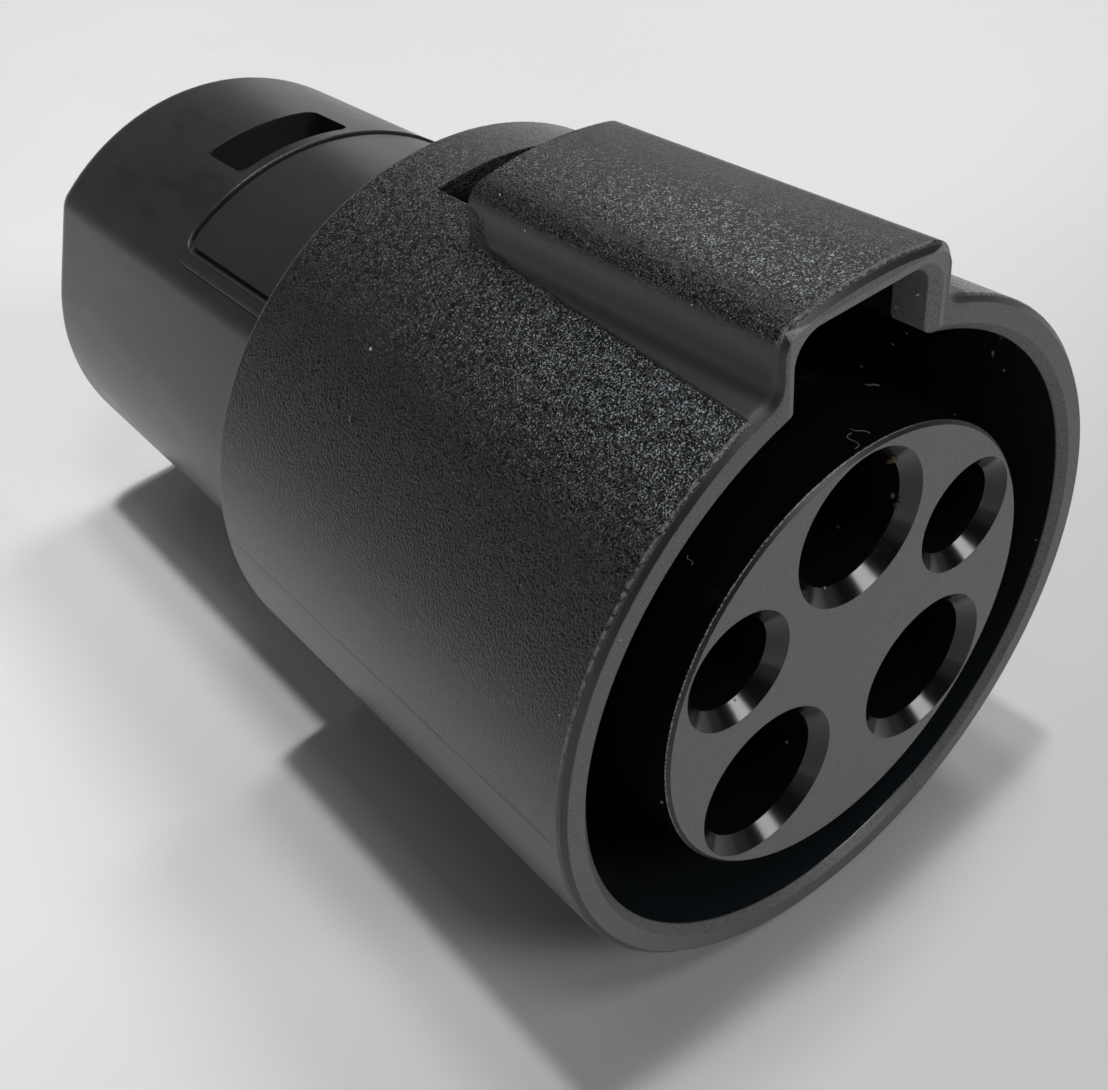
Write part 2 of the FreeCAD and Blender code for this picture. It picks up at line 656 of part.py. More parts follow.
def make_pin(c):
    radius = c["pin"]
    land = radius + pin_land
    collar = land + collar_step
    collar_end = floor_rear + collar_length
    tail_end = link_at + link_seat
    return turned(c["name"] + "_pin_turned", [
        (c["tip"], 0.0), (c["tip"], radius - pin_nose), (c["tip"] + pin_nose, radius),
        (ledge_at, radius), (ledge_at, land), (floor_rear, land), (floor_rear, collar),
        (collar_end, collar), (collar_end, radius), (tail_end, radius), (tail_end, 0.0),
    ], *c["front"])


for c in CIRCUITS:
    finish(c["name"] + "_pin", make_pin(c))


# The retainer that holds the pins' collars against the housing, and its screws

def make_retainer():
    away = []
    for c in CIRCUITS:
        collar = c["pin"] + pin_land + collar_step + slip
        away.append(rod(c["name"] + "_collar_seat", collar, floor_rear,
                        floor_rear + collar_length, *c["front"]))
        away.append(rod(c["name"] + "_tail_hole", c["pin"] + fit_gap, floor_rear,
                        retainer_rear, *c["front"]))
    for side, x, z in SCREWS:
        away.append(rod(side + "_screw_hole", screw_shank + fit_gap, floor_rear,
                        retainer_rear, x, z))
    disc = rod("retainer_disc", retainer_radius, floor_rear, retainer_rear)
    return cut("retainer_cut", disc, joined("retainer_away", away))


def make_screw(side, x, z):
    head_end = retainer_rear + screw_head_height
    solid = joined(side + "_screw_solid", [
        rod(side + "_shank", screw_shank, retainer_rear - screw_length, retainer_rear, x, z),
        rod(side + "_head", screw_head, retainer_rear, head_end, x, z),
    ])
    slot = block(side + "_drive_slot", screw_head, head_end - drive_depth, head_end,
                 z - drive_slot * 0.5, z + drive_slot * 0.5, x)
    return cut(side + "_screw", solid, slot)


finish("pin_retainer", make_retainer())
screws = doc.addObject("Part::Compound", "screw_set")
screws.Links = [make_screw(side, x, z) for side, x, z in SCREWS]
finish("retainer_screws", screws)


# The links: each carries a circuit from its pin to its socket

def make_link(c):
    radius = c["tail"] + link_wall
    prism = link_prism(c["name"] + "_link_prism", c["front"], c["rear"], radius,
                       link_at, link_rear)
    holes = joined(c["name"] + "_link_holes", [
        rod(c["name"] + "_link_front", c["pin"] + slip, link_at,
            link_at + link_seat + link_end_gap, *c["front"]),
        rod(c["name"] + "_link_rear", c["tail"] + slip,
            link_rear - link_seat - link_end_gap, link_rear, *c["rear"]),
    ])
    return cut(c["name"] + "_link_cut", prism, holes)


for c in CIRCUITS:
    finish(c["name"] + "_link", make_link(c))


# The sockets: a solid tail and a bored barrel whose end is slotted into fingers

def make_socket(c):
    barrel = c["barrel"]
    collar = barrel + socket_collar_step
    tail_at = link_rear - link_seat
    collar_at = carrier_at - socket_collar
    bottom = socket_mouth - bore_depth
    body = turned(c["name"] + "_socket_turned", [
        (tail_at, 0.0), (tail_at, c["tail"]), (collar_at, c["tail"]), (collar_at, collar),
        (carrier_at, collar), (carrier_at, barrel), (socket_mouth, barrel),
        (socket_mouth, c["bore"] + bore_lead), (socket_mouth - bore_lead, c["bore"]),
        (bottom, c["bore"]), (bottom, 0.0),
    ], *c["rear"])
    x, z = c["rear"]
    half = c["bore"] * slit_growth + slit_base
    start = socket_mouth - finger_length
    reach = barrel + OVERCUT
    slots = [block(c["name"] + "_slot_upright", half, start, socket_mouth,
                   z - reach, z + reach, x)]
    if c["cuts"] == 2:
        slots.append(block(c["name"] + "_slot_level", reach, start, socket_mouth,
                           z - half, z + half, x))
    return cut(c["name"] + "_socket_cut", body, joined(c["name"] + "_slots", slots)
               if len(slots) > 1 else slots[0])


def make_band(c):
    inner = c["barrel"] + band_slip
    end = socket_mouth - band_inset
    start = end - band_width
    return cut(c["name"] + "_band_cut",
               rod(c["name"] + "_band_rod", inner + band_thickness, start, end, *c["rear"]),
               rod(c["name"] + "_band_bore", inner, start, end, *c["rear"]))


for c in CIRCUITS:
    finish(c["name"] + "_socket", make_socket(c))
    finish(c["name"] + "_band", make_band(c))


# The seal between the inlet housing's floor and the plug body's flange

finish("body_gasket", cut("gasket_cut",
                          rod("gasket_rod", part_radius, floor_rear, flange_at),
                          rod("gasket_bore", part_radius - gasket_width, floor_rear, flange_at)))


# The plug body: a round flange, the nose, the lock slot in its well, the label recess

def upright_edges(edge):
    """The edges of a block that stand upright."""
    first, *between, last = points_of(edge)
    return abs(first.z - last.z) > 1 and math.dist(first[:2], last[:2]) < 0.01


def shoulder_edges(edge):
    """The two edges where the plug's flanks meet its top."""
    first, *between, last = points_of(edge)
    return abs(first.y - last.y) > 1 and first.z > plain(plug_top_height) / 2


def label_block(name, border, low, high):
    """The label's rounded rectangle, wider all round by the border."""
    base = block(name + "_block", label_half_width + border, label_from - border,
                 label_to + border, low, high)
    return rounded(name, base, label_round + border, upright_edges)


def top_rod(name, depth, start, end):
    """The cylinder of the plug's top arc, smaller by a depth."""
    return rod(name, plug_top_radius - depth, start, end, 0.0, plug_top_height - plug_top_radius)


def make_plug_body():
    nose = plug_prism("nose", 0.0, flange_at, plug_end)
    nose = rounded("nose_shoulders", nose, shoulder_round, shoulder_edges)
    nose = rounded("nose_end", nose, end_round, lambda edge: at_station(edge, plug_end))
    flange = rod("flange", part_radius, flange_at, shell_length)
    hollow = joined("plug_hollow", [
        plug_prism("cavity", plug_wall, flange_at, socket_mouth),
        rod("flange_recess", retainer_radius + fit_gap * 2, flange_at, retainer_rear + fit_gap),
    ])
    body = cut("plug_shell", joined("plug_solid", [nose, flange]), hollow)
    well = block("slot_well", slot_half_width + well_wall, slot_from - well_wall,
                 slot_to + well_wall, slot_floor - well_wall,
                 plug_top_height - plug_wall + fit_gap)
    body = joined("plug_with_well", [body, well])
    slot = rounded("lock_slot", block("lock_slot_block", slot_half_width, slot_from, slot_to,
                                      slot_floor, plug_top_height + OVERCUT),
                   slot_round, upright_edges)
    recess = cut("label_recess", label_block("recess_block", recess_border, 0.0,
                                             plug_top_height + OVERCUT),
                 top_rod("recess_floor", recess_depth, shell_length, plug_end))
    away = [slot, recess]
    for c in CIRCUITS:
        hole = c["bore"] + hole_margin
        away.append(rod(c["name"] + "_rear_hole", hole, socket_mouth, plug_end, *c["rear"]))
        away.append(taper(c["name"] + "_rear_sink", hole, hole + hole_sink,
                          plug_end - hole_sink, plug_end, *c["rear"]))
    return cut("plug_body_cut", body, joined("plug_away", away))


def make_label():
    skin = cut("label_skin",
               top_rod("label_top", recess_depth - label_thickness, label_from, label_to),
               top_rod("label_under", recess_depth, label_from, label_to))
    return shared("label_cut", skin,
                  label_block("label_outline", 0.0, 0.0, plug_top_height + OVERCUT))


finish("plug_body", make_plug_body())
finish("label_plate", make_label())


# The carrier that holds the sockets inside the plug

def make_carrier():
    plate = plug_prism("carrier_plate_section", plug_wall + carrier_gap, carrier_at,
                       carrier_at + carrier_plate)
    grip_end = carrier_at + carrier_grip
    sleeves = [rod(c["name"] + "_sleeve", c["barrel"] + sleeve_wall, carrier_at, grip_end,
                   *c["rear"]) for c in CIRCUITS]
    grips = [rod(c["name"] + "_grip", c["barrel"] + slip, carrier_at, grip_end, *c["rear"])
             for c in CIRCUITS]
    return cut("carrier_cut", joined("carrier_solid", [plate] + sleeves),
               joined("carrier_grips", grips))


finish("socket_carrier", make_carrier())


# Check every object, then write one file for each piece

doc.recompute()
for obj in doc.Objects:
    if "Invalid" in obj.State or "Error" in obj.State:
        raise RuntimeError("not made: " + obj.Name + " " + str(obj.State))

os.makedirs("parts", exist_ok=True)
for node, obj in FINISHED.items():
    shape = obj.Shape
    if shape.isNull() or not shape.isValid():
        raise RuntimeError("bad shape: " + node)
    shape.exportStep(os.path.join("parts", node + ".step"))
    print(node, len(shape.Solids), "solid,", round(shape.Volume / 1000, 3), "cm3")
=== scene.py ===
# %% [markdown]
# # A charging adapter, dressed for its picture
#
# The adapter is a handful of black mouldings: a grained outer shell with a latch
# housing, a smooth boss with five contact holes, and a satin plug body behind. The
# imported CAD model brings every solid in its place. This script merges the shown ones
# into smooth meshes, gives each a finish worked out by nodes, adds the label's raised
# border and the specks and fibres that settle on such a thing, and sets the light and
# the camera.

# %% Load the frame
import math
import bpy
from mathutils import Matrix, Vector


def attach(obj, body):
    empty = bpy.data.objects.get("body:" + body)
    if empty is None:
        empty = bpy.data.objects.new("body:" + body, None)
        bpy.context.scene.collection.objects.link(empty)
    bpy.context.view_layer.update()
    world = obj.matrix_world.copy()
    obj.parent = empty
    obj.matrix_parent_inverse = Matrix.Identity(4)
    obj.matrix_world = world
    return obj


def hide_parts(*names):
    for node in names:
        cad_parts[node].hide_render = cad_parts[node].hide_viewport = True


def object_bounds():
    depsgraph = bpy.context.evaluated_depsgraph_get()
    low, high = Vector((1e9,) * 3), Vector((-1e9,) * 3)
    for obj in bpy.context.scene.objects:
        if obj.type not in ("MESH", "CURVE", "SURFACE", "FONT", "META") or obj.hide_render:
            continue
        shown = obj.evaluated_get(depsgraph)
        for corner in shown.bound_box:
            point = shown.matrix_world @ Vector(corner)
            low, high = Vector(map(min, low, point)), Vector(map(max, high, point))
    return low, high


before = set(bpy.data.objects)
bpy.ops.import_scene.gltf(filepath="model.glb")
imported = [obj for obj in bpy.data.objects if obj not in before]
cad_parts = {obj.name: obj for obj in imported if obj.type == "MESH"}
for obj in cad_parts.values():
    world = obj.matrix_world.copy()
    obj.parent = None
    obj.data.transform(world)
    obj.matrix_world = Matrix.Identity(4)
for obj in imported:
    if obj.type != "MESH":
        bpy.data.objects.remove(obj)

from types import SimpleNamespace

import bmesh
import bpy
import numpy as np
from mathutils import Matrix, Vector
from mathutils.bvhtree import BVHTree

cad_box = [list(corner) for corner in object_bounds()]
MM = 0.001


def box_of(node):
    """The lowest and the highest corner of a CAD node, in millimetres."""
    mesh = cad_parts[node].data
    points = np.empty(len(mesh.vertices) * 3)
    mesh.vertices.foreach_get("co", points)
    points = points.reshape(-1, 3) / MM
    return points.min(axis=0), points.max(axis=0)


SHELL_HIGH = box_of("outer_shell")[1]
BOSS_LOW = box_of("inlet_housing")[0]
PLUG_HIGH = box_of("plug_body")[1]
LABEL_HIGH = box_of("label_plate")[1]
print(len(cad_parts), "solids in the frame, box", cad_box)

# %% [markdown]
# ## Arithmetic on sockets
#
# A finish is a sum of masks and grains. Wired by hand, each plus sign is a node to
# find, place and link. A small class that overloads Python's operators lets a finish
# be written as a formula instead, and each operator adds its Math node. Every other
# node comes from one method, which takes its settings and what goes into its sockets.

# %% A socket that takes part in arithmetic
class Wire:
    """One output socket. Arithmetic with it adds Math nodes to its tree."""

    def __init__(self, owner, socket):
        self.owner = owner
        self.socket = socket

    def math(self, operation, *values):
        return self.owner.node("ShaderNodeMath", {"operation": operation}, *values)

    def __add__(self, other): return self.math("ADD", self, other)
    def __sub__(self, other): return self.math("SUBTRACT", self, other)
    def __mul__(self, other): return self.math("MULTIPLY", self, other)
    def __pow__(self, other): return self.math("POWER", self, other)
    def __radd__(self, other): return self.math("ADD", other, self)
    def __rsub__(self, other): return self.math("SUBTRACT", other, self)
    def __rmul__(self, other): return self.math("MULTIPLY", other, self)
    def __abs__(self): return self.math("ABSOLUTE", self, 0.0)

    def most(self, other): return self.math("MAXIMUM", self, other)


class NodeTree:
    """The nodes of a material or of the world. `node` adds one and fills its sockets."""

    def __init__(self, tree):
        self.tree = tree

    def node(self, kind, settings=(), *values, out=0, **named):
        """Add a node: its settings first, then values or wires by position and by name."""
        made = self.tree.nodes.new(kind)
        for key, value in dict(settings).items():
            if key == "stops":
                for stop, (position, colour) in zip(made.color_ramp.elements, value):
                    stop.position, stop.color = position, colour
            else:
                setattr(made, key, value)
        for key, value in [*enumerate(values), *named.items()]:
            if value is not None:
                place = key if isinstance(key, int) else key.replace("_", " ")
                self.feed(made.inputs[place], value)
        return made if out is None else Wire(self, made.outputs[out])

    def feed(self, socket, value):
        """Link a wire to a socket, or set the socket's own value."""
        if isinstance(value, Wire):
            self.tree.links.new(value.socket, socket)
        else:
            socket.default_value = value


class Finish(NodeTree):
    """A material, with the place on the object in millimetres as x, y and z."""

    def __init__(self, name):
        self.material = bpy.data.materials.new(name)
        self.material.use_nodes = True
        super().__init__(self.material.node_tree)
        self.shader = self.tree.nodes["Principled BSDF"]
        self.place = self.node("ShaderNodeTexCoord", out="Object")
        split = self.node("ShaderNodeSeparateXYZ", {}, self.place, out=None)
        self.x, self.y, self.z = [Wire(self, split.outputs[n]) * (1 / MM) for n in range(3)]

    def shade(self, **sockets):
        """Link or set the shader's sockets, named with underscores for spaces."""
        for key, value in sockets.items():
            self.feed(self.shader.inputs[key.replace("_", " ")], value)
        return self.material


print("operators ready")

# %% [markdown]
# ## Tools for grains, masks and colours
#
# Moulded plastic is seldom one colour. Its grain catches light, its edges wear, and a
# mould line crosses it. Each of these is a mask between 0 and 1 that goes from none to
# full over a short distance, measured in millimetres on the object.

# %% Masks, noise and mixing
MIX_COLOURS = (6, 7)    # where a Mix node keeps the sockets of its two colours
MIX_RESULT = 2
EDGE_SAMPLES = 3
COOL_BLUE = 0.6         # how much of a cool tint goes into the blue


def step(value, low, high):
    """0 below low, 1 above high, and an S curve in between."""
    return value.owner.node("ShaderNodeMapRange", {"interpolation_type": "SMOOTHSTEP"},
                            value, low, high, 0.0, 1.0)


def over(value, limit, soft=0.05):
    """1 where the value is above the limit."""
    return step(value, limit - soft, limit + soft)


def under(value, limit, soft=0.05):
    """1 where the value is below the limit."""
    return 1.0 - over(value, limit, soft)


def band(value, centre, half, soft):
    """1 within half of the centre, falling to 0 over the soft distance."""
    return 1.0 - step(abs(value - centre), half, half + soft)


def noise(finish, size_mm, detail=2.0, rough=0.5, stretch=(1, 1, 1)):
    """Fractal noise from 0 to 1 whose largest grains measure about size_mm."""
    place = finish.node("ShaderNodeMapping", {}, finish.place, Scale=stretch)
    return finish.node("ShaderNodeTexNoise", {}, place, Scale=1 / (size_mm * MM),
                       Detail=detail, Roughness=rough)


def mix(finish, mask, first, second):
    """The first colour where the mask is 0, the second where it is 1."""
    made = finish.node("ShaderNodeMix", {"data_type": "RGBA"}, mask, out=None)
    for index, colour in zip(MIX_COLOURS, (first, second)):
        colour = colour if isinstance(colour, Wire) else (*colour, 1.0)
        finish.feed(made.inputs[index], colour)
    return Wire(finish, made.outputs[MIX_RESULT])


def painted(finish, colour, *layers):
    """The colour with one shade after another laid over it, each where its mask is 1."""
    for mask, shade in layers:
        colour = mix(finish, mask, colour, shade)
    return colour


def soft_edges(finish, radius_mm):
    """The surface's direction with every sharp edge rounded by a small radius."""
    return finish.node("ShaderNodeBevel", {"samples": EDGE_SAMPLES}, Radius=radius_mm * MM)


def bump(finish, height, depth_mm, normal=None):
    """Tilt the surface by a height from 0 to 1 that stands depth_mm tall."""
    return finish.node("ShaderNodeBump", {}, Strength=1.0, Distance=depth_mm * MM,
                       Height=height, Normal=normal)


def grey(value, cool=0.0):
    """A grey of that brightness. Positive is cooler, negative is warmer."""
    return (value * (1 - cool), value, value * (1 + cool * COOL_BLUE))


print("mask and grain tools ready")

# %% [markdown]
# ## Smooth copies of the mouldings
#
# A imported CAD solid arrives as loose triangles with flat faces, which a satin plastic
# would show as stripes. Merging the points and smoothing everything except real edges
# gives the moulding's own curvature back. The copy then stands for the solid, so the
# shape stays the one that was measured.

# %% Merge, smooth and hand over
SHARP_DEGREES = 32
MERGE = 0.002 * MM
MOULDINGS = []


def add_object(name, data):
    """A new object in the scene, at the origin."""
    made = bpy.data.objects.new(name, data)
    bpy.context.scene.collection.objects.link(made)
    return made


def shade_smooth(mesh):
    """Every face of the mesh takes part in smooth shading."""
    mesh.polygons.foreach_set("use_smooth", np.ones(len(mesh.polygons), bool))


def smooth_copy(node, material):
    """A merged copy of a CAD node with smooth curves and sharp edges, which replaces it."""
    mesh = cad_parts[node].data.copy()
    mesh.name = node + "_smooth"
    grid = bmesh.new()
    grid.from_mesh(mesh)
    bmesh.ops.remove_doubles(grid, verts=grid.verts, dist=MERGE)
    grid.to_mesh(mesh)
    grid.free()
    if "custom_normal" in mesh.attributes:
        mesh.attributes.remove(mesh.attributes["custom_normal"])
    mesh.materials.clear()
    mesh.materials.append(material)
    shade_smooth(mesh)
    mesh.set_sharp_from_angle(angle=math.radians(SHARP_DEGREES))
    piece = add_object(node + "_moulding", mesh)
    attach(piece, "root")
    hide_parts(node)
    MOULDINGS.append(piece)
    print(piece.name, len(mesh.polygons), "faces")


print("edges sharper than", SHARP_DEGREES, "degrees stay sharp")

# %% [markdown]
# ## The shell's plastic: its areas
#
# The tool that moulded the shell was spark-eroded: coarse worm-like grains that glitter
# where they face the light. The latch housing's flanks and everything below the mould
# line were left smoother, so the same black plastic looks like satin there. The rim's
# flat face and the notch's lip are matt and paler, and the inside is polished. One
# material holds them all, so each area is first a mask, bounded by the moulding's own
# sizes. The flank ends in a foot line that wanders a little, as a hand-dressed edge in
# the tool does.

# %% Masks of the shell's areas
WALL_MIDDLE = 24.0          # nearer to the axis than this is the shell's inside
RIM_FLAT = (0.03, 0.02)     # the rim's face: its depth, and how softly it ends
RIM_BEVEL = 0.55
BEVEL_SEEN = RIM_BEVEL - 0.2
NOTCH_SIDE = 6.5
NOTCH_FLOOR = 15.0
NOTCH_TOP = 27.8
NOTCH_LIP = 3.0
ROOF_END = 27.6
HOUSING_LOW = 22.5
FLANK_SIDE = 6.95
FLANK_TOP = (27.1, 0.45)    # where the flank turns into the roof, and how softly
FOOT_FRONT = 9.25
FOOT_TAPER = 0.07           # the foot comes in by this much for each mm to the rear
FOOT_SOFT = 0.06
FOOT_LINE = (0.05, 0.09)    # half its width, and how softly it ends
FOOT_LINE_FRONT = 0.6
FOOT_LINE_SIDE = 7.2
WANDER_SIZE, WANDER = 0.35, 0.24
MOULD_LINE = (-0.02, 0.05)
SEAM = (0.03, 0.04)         # half its width, and how softly it ends
SEAM_FRONT = (1.2, 0.2)
# the pale rear edge is a painted highlight
REAR_EDGE = (0.09, 0.03)    # how deep the pale rear edge is, and how softly it ends
REAR_RADIUS = 24.6


def shell_areas(f):
    """The shell's areas as masks: each is 1 on its area and 0 elsewhere."""
    side = abs(f.x)
    radius = (f.x * f.x + f.z * f.z) ** 0.5
    notch = under(side, NOTCH_SIDE) * over(f.z, NOTCH_FLOOR) * under(f.z, NOTCH_TOP)
    notch = notch * under(f.y, ROOF_END)
    inside = under(radius, WALL_MIDDLE).most(notch)
    lip = notch * under(f.y, NOTCH_LIP)
    matt = under(f.y, *RIM_FLAT).most(inside * under(f.y, RIM_BEVEL)).most(lip)

    wander = (noise(f, WANDER_SIZE, detail=2.0) - 0.5) * WANDER
    from_foot = side - (FOOT_FRONT - f.y * FOOT_TAPER + wander)
    strip = over(f.z, HOUSING_LOW) * under(f.y, ROOF_END)
    flank = over(side, FLANK_SIDE) * under(from_foot, 0.0, FOOT_SOFT) * strip
    flank = flank * under(f.z, *FLANK_TOP)
    foot_line = band(from_foot, 0.0, *FOOT_LINE) * strip
    foot_line = foot_line * over(f.y, FOOT_LINE_FRONT) * over(side, FOOT_LINE_SIDE)

    near_rim = under(f.y, BEVEL_SEEN)
    smooth = flank.most(under(f.z, *MOULD_LINE)).most(inside).most(matt).most(near_rim)
    # a painted highlight along the moulding's rear edge
    rear = over(f.y, SHELL_HIGH[1] - REAR_EDGE[0], REAR_EDGE[1])
    return SimpleNamespace(
        side=side, inside=inside, lip=lip, matt=matt, flank=flank, smooth=smooth,
        polished=inside * (1.0 - matt), foot_line=foot_line, bevel=near_rim * (1.0 - matt),
        seam=band(f.z, 0.0, *SEAM) * over(f.y, *SEAM_FRONT) * (1.0 - inside),
        rear=rear * over(radius, REAR_RADIUS))


print("foot line", FOOT_FRONT, "mm from the middle, tapering", FOOT_TAPER, "mm per mm")

# %% [markdown]
# ## The shell's plastic: its grain
#
# The grain could be a bump alone, but its glitter is finer than a pixel and would be
# lost, so its glints are painted: the facets are paler than the ground between them.
# This painted highlight is palest on the top, where the real ones face the lamps, and
# fades down the side into a painted shade, where facets and ground are near black. On
# the latch housing the rounded shoulders, the right half and the rear get less of it.

# %% Grain of the shell
SKIN_SIZE, FINE_SIZE, CLUMP_SIZE = 0.18, 0.12, 0.45
COARSE = (0.40, 0.60)       # from which noise value to which each mask goes to full
GLINT = (0.52, 0.66)
CLUMP = (0.30, 0.60)
PITS = (0.36, 0.52)
FADE = (9.0, 7.0)           # the grain is full above this height, and how softly
FADED = 0.40
COARSE_PART, FINE_PART, GLINT_PART, SATIN_PART = 0.5, 0.3, 0.2, 0.06
TOP_LIT = (16.5, 22.5)      # heights between which the facets turn to the lit grey
TOP_LEAN = 0.05             # they do so higher up by this much per mm to the rear
SHADE_HEIGHTS = (0.0, 11.0)
ROOF_LOW = 26.4
SHOULDER_HEIGHT, SHOULDER_SIDE, SHOULDER_DIM = (ROOF_LOW, 0.3), (4.6, 0.9), 0.8
RIGHT_SIDE, RIGHT_DIM = (-2.0, 6.0), 0.6
REAR_PART, REAR_DIM = (8.0, 30.0), 0.5
# colours of the facets and of the ground, from painted shade low down to painted highlight
# on top
FACET_SHADED, FACET_MIDDLE, FACET_LIT = grey(0.007, 0.12), grey(0.105), grey(0.42, 0.09)
GROUND_SHADED, GROUND = grey(0.002, 0.3), grey(0.065, 0.02)


def shell_grain(f, area):
    """The grain as a height from 0 to 1, a colour, and masks for what follows it."""
    skin = noise(f, SKIN_SIZE, detail=1.5, rough=0.5)
    fine = noise(f, FINE_SIZE, detail=1.5, rough=0.6)
    clump = step(noise(f, CLUMP_SIZE, detail=2.0, rough=0.6), *CLUMP)
    glint = step(fine, *GLINT) * clump
    full = (1.0 - area.smooth) * (FADED + (1.0 - FADED) * over(f.z, *FADE))
    height = step(skin, *COARSE) * COARSE_PART + fine * FINE_PART + glint * GLINT_PART
    height = height * full + skin * (1.0 - full) * SATIN_PART

    # painted highlight on top, less on the shoulders, the right half and the rear
    shoulder = over(f.z, *SHOULDER_HEIGHT) * over(area.side, *SHOULDER_SIDE)
    painted_highlight = step(f.z - f.y * TOP_LEAN, *TOP_LIT) * (1.0 - SHOULDER_DIM * shoulder)
    painted_highlight = painted_highlight * (1.0 - RIGHT_DIM * step(f.x, *RIGHT_SIDE) * over(f.z, ROOF_LOW))
    painted_highlight = painted_highlight * (1.0 - REAR_DIM * step(f.y, *REAR_PART))
    # painted shade low down the side
    low = 1.0 - step(f.z, *SHADE_HEIGHTS)
    facets = mix(f, painted_highlight, mix(f, low, FACET_SHADED, FACET_MIDDLE), FACET_LIT)
    colour = mix(f, glint, mix(f, low, GROUND_SHADED, GROUND), facets)
    return SimpleNamespace(height=height, colour=colour, full=full, clump=clump,
                           pits=step(fine, *PITS))


print("grains of", SKIN_SIZE, FINE_SIZE, CLUMP_SIZE, "mm")

# %% [markdown]
# ## The shell's plastic: all together
#
# The areas are painted over the grain one after the other, so that a later one covers
# an earlier. A broken pale line follows the outer edge of the rim's bevel, where hands
# and tables touch it. The moulding's rear edge is as pale, a painted highlight. The
# rim's bevel is painted darker, a painted shade. The mould line and the foot line are
# grooves, lower than what they part and painted darker, a painted shade.

# %% Finish of the shell
PLASTIC_IOR = 1.55
WORN_LINE = (RIM_BEVEL - 0.02, 0.05, 0.10)      # station, half width, softness
WORN_LOW = (6.0, 4.0)
SATIN, FLANK = grey(0.062), grey(0.034, -0.02)
# the dark bevel grey is a painted shade; the pale grey is wear on the rim and a painted
# highlight on the rear edge
BEVEL_SHADE, WEAR_AND_HIGHLIGHT = grey(0.012, 0.05), grey(0.13)
MATT_PIT, MATT_TOP = grey(0.043), grey(0.118)
LIP_PIT, LIP_TOP = grey(0.10), grey(0.17)
POLISHED, GROOVE_SHADE = grey(0.016, 0.25), grey(0.003)
FOOT_LINE_PART = 0.8
SEAM_DEPTH, FOOT_DEPTH = 0.8, 1.2       # as shares of the grain's depth
GRAIN_DEPTH = 0.09
EDGE_ROUND, FLANK_ROUND = 0.10, 0.7
CLOUD_SIZE, CLOUD_ROUGH = 6.0, 0.06
SATIN_ROUGH, GRAIN_SHEEN = 0.36, 0.14
MATT_ROUGH, POLISH_SHEEN = 0.12, 0.20


def shell_finish():
    f = Finish("shell_plastic")
    area = shell_areas(f)
    grain = shell_grain(f, area)
    cloud = noise(f, CLOUD_SIZE, detail=3.0)
    worn = band(f.y, *WORN_LINE) * over(f.z, *WORN_LOW) * grain.clump
    worn = worn * (1.0 - area.flank) * (1.0 - area.inside)
    colour = painted(f, grain.colour,
                     (area.smooth, SATIN),
                     (area.flank, FLANK),
                     # the rim's bevel painted darker, a painted shade
                     (area.bevel, BEVEL_SHADE),
                     # a painted highlight on the rear edge, and wear along the rim's bevel
                     (area.rear.most(worn), WEAR_AND_HIGHLIGHT),
                     (area.matt, mix(f, grain.pits, MATT_PIT, MATT_TOP)),
                     (area.polished, POLISHED),
                     (area.lip, mix(f, grain.pits, LIP_PIT, LIP_TOP)),
                     # the mould line and the foot line painted darker, a painted shade
                     (area.seam.most(area.foot_line * FOOT_LINE_PART), GROOVE_SHADE))
    height = grain.height - area.seam * SEAM_DEPTH - area.foot_line * FOOT_DEPTH
    rough = SATIN_ROUGH - grain.full * GRAIN_SHEEN + area.matt * MATT_ROUGH
    rough = rough - area.polished * POLISH_SHEEN + (cloud - 0.5) * CLOUD_ROUGH
    edges = soft_edges(f, EDGE_ROUND + area.flank * FLANK_ROUND)
    return f.shade(Base_Color=colour, Roughness=rough, IOR=PLASTIC_IOR,
                   Normal=bump(f, height, GRAIN_DEPTH, edges))


smooth_copy("outer_shell", shell_finish())

# %% [markdown]
# ## The boss
#
# The boss's face is a matt, fine-grained grey, while its side and holes were polished
# in the mould and stay black. Its front edge has been rubbed by many connectors and
# shows a thin, broken pale line. The lead-ins keep faint rings from the turned mould
# pin. The faces differ by where they are, so the masks read the station along the axis
# and the distance from it.

# %% Matt face, glossy sides
BOSS_FACE = float(BOSS_LOW[1])
BOSS_RADIUS = 16.85
BOSS_BEVEL = 0.25
FACE_DEPTH, FACE_SOFT = 0.012, 0.008
RUB_LINE = (BOSS_FACE + BOSS_BEVEL, 0.03, 0.03)     # station, half width, softness
RUB_LEAN = 0.8
RUB_REACH = (3.0, 14.0)                             # rubbed on the upper left only
RUB_MARGIN, SLOPE_MARGIN = 0.1, 0.3
RUB_SIZE, RUB_GAPS = 0.15, (0.42, 0.60)
FACE_GRAIN, FACE_GRAIN_STEP = 0.14, (0.30, 0.62)
SMEAR_SIZE, SMEAR_STEP = 2.6, (0.60, 0.78)
BOSS_CLOUD_SIZE = 4.0
FACE_PIT, FACE_TOP = grey(0.095, 0.01), grey(0.152, -0.01)
GLOSS, GLOSS_SMEAR, RUBBED = grey(0.005), grey(0.014), grey(0.42, -0.03)
RING_STEP = 0.35            # millimetres along the axis in which the rings turn 1 radian
WAVE_RATE = 20              # a Wave texture of scale 1 turns this many in a metre
RING_PART = 0.10
BOSS_DEPTH, BOSS_ROUND = 0.018, 0.03
GLOSS_ROUGH, FACE_ROUGH, SLOPE_ROUGH, SMEAR_ROUGH = 0.16, 0.38, 0.25, 0.12


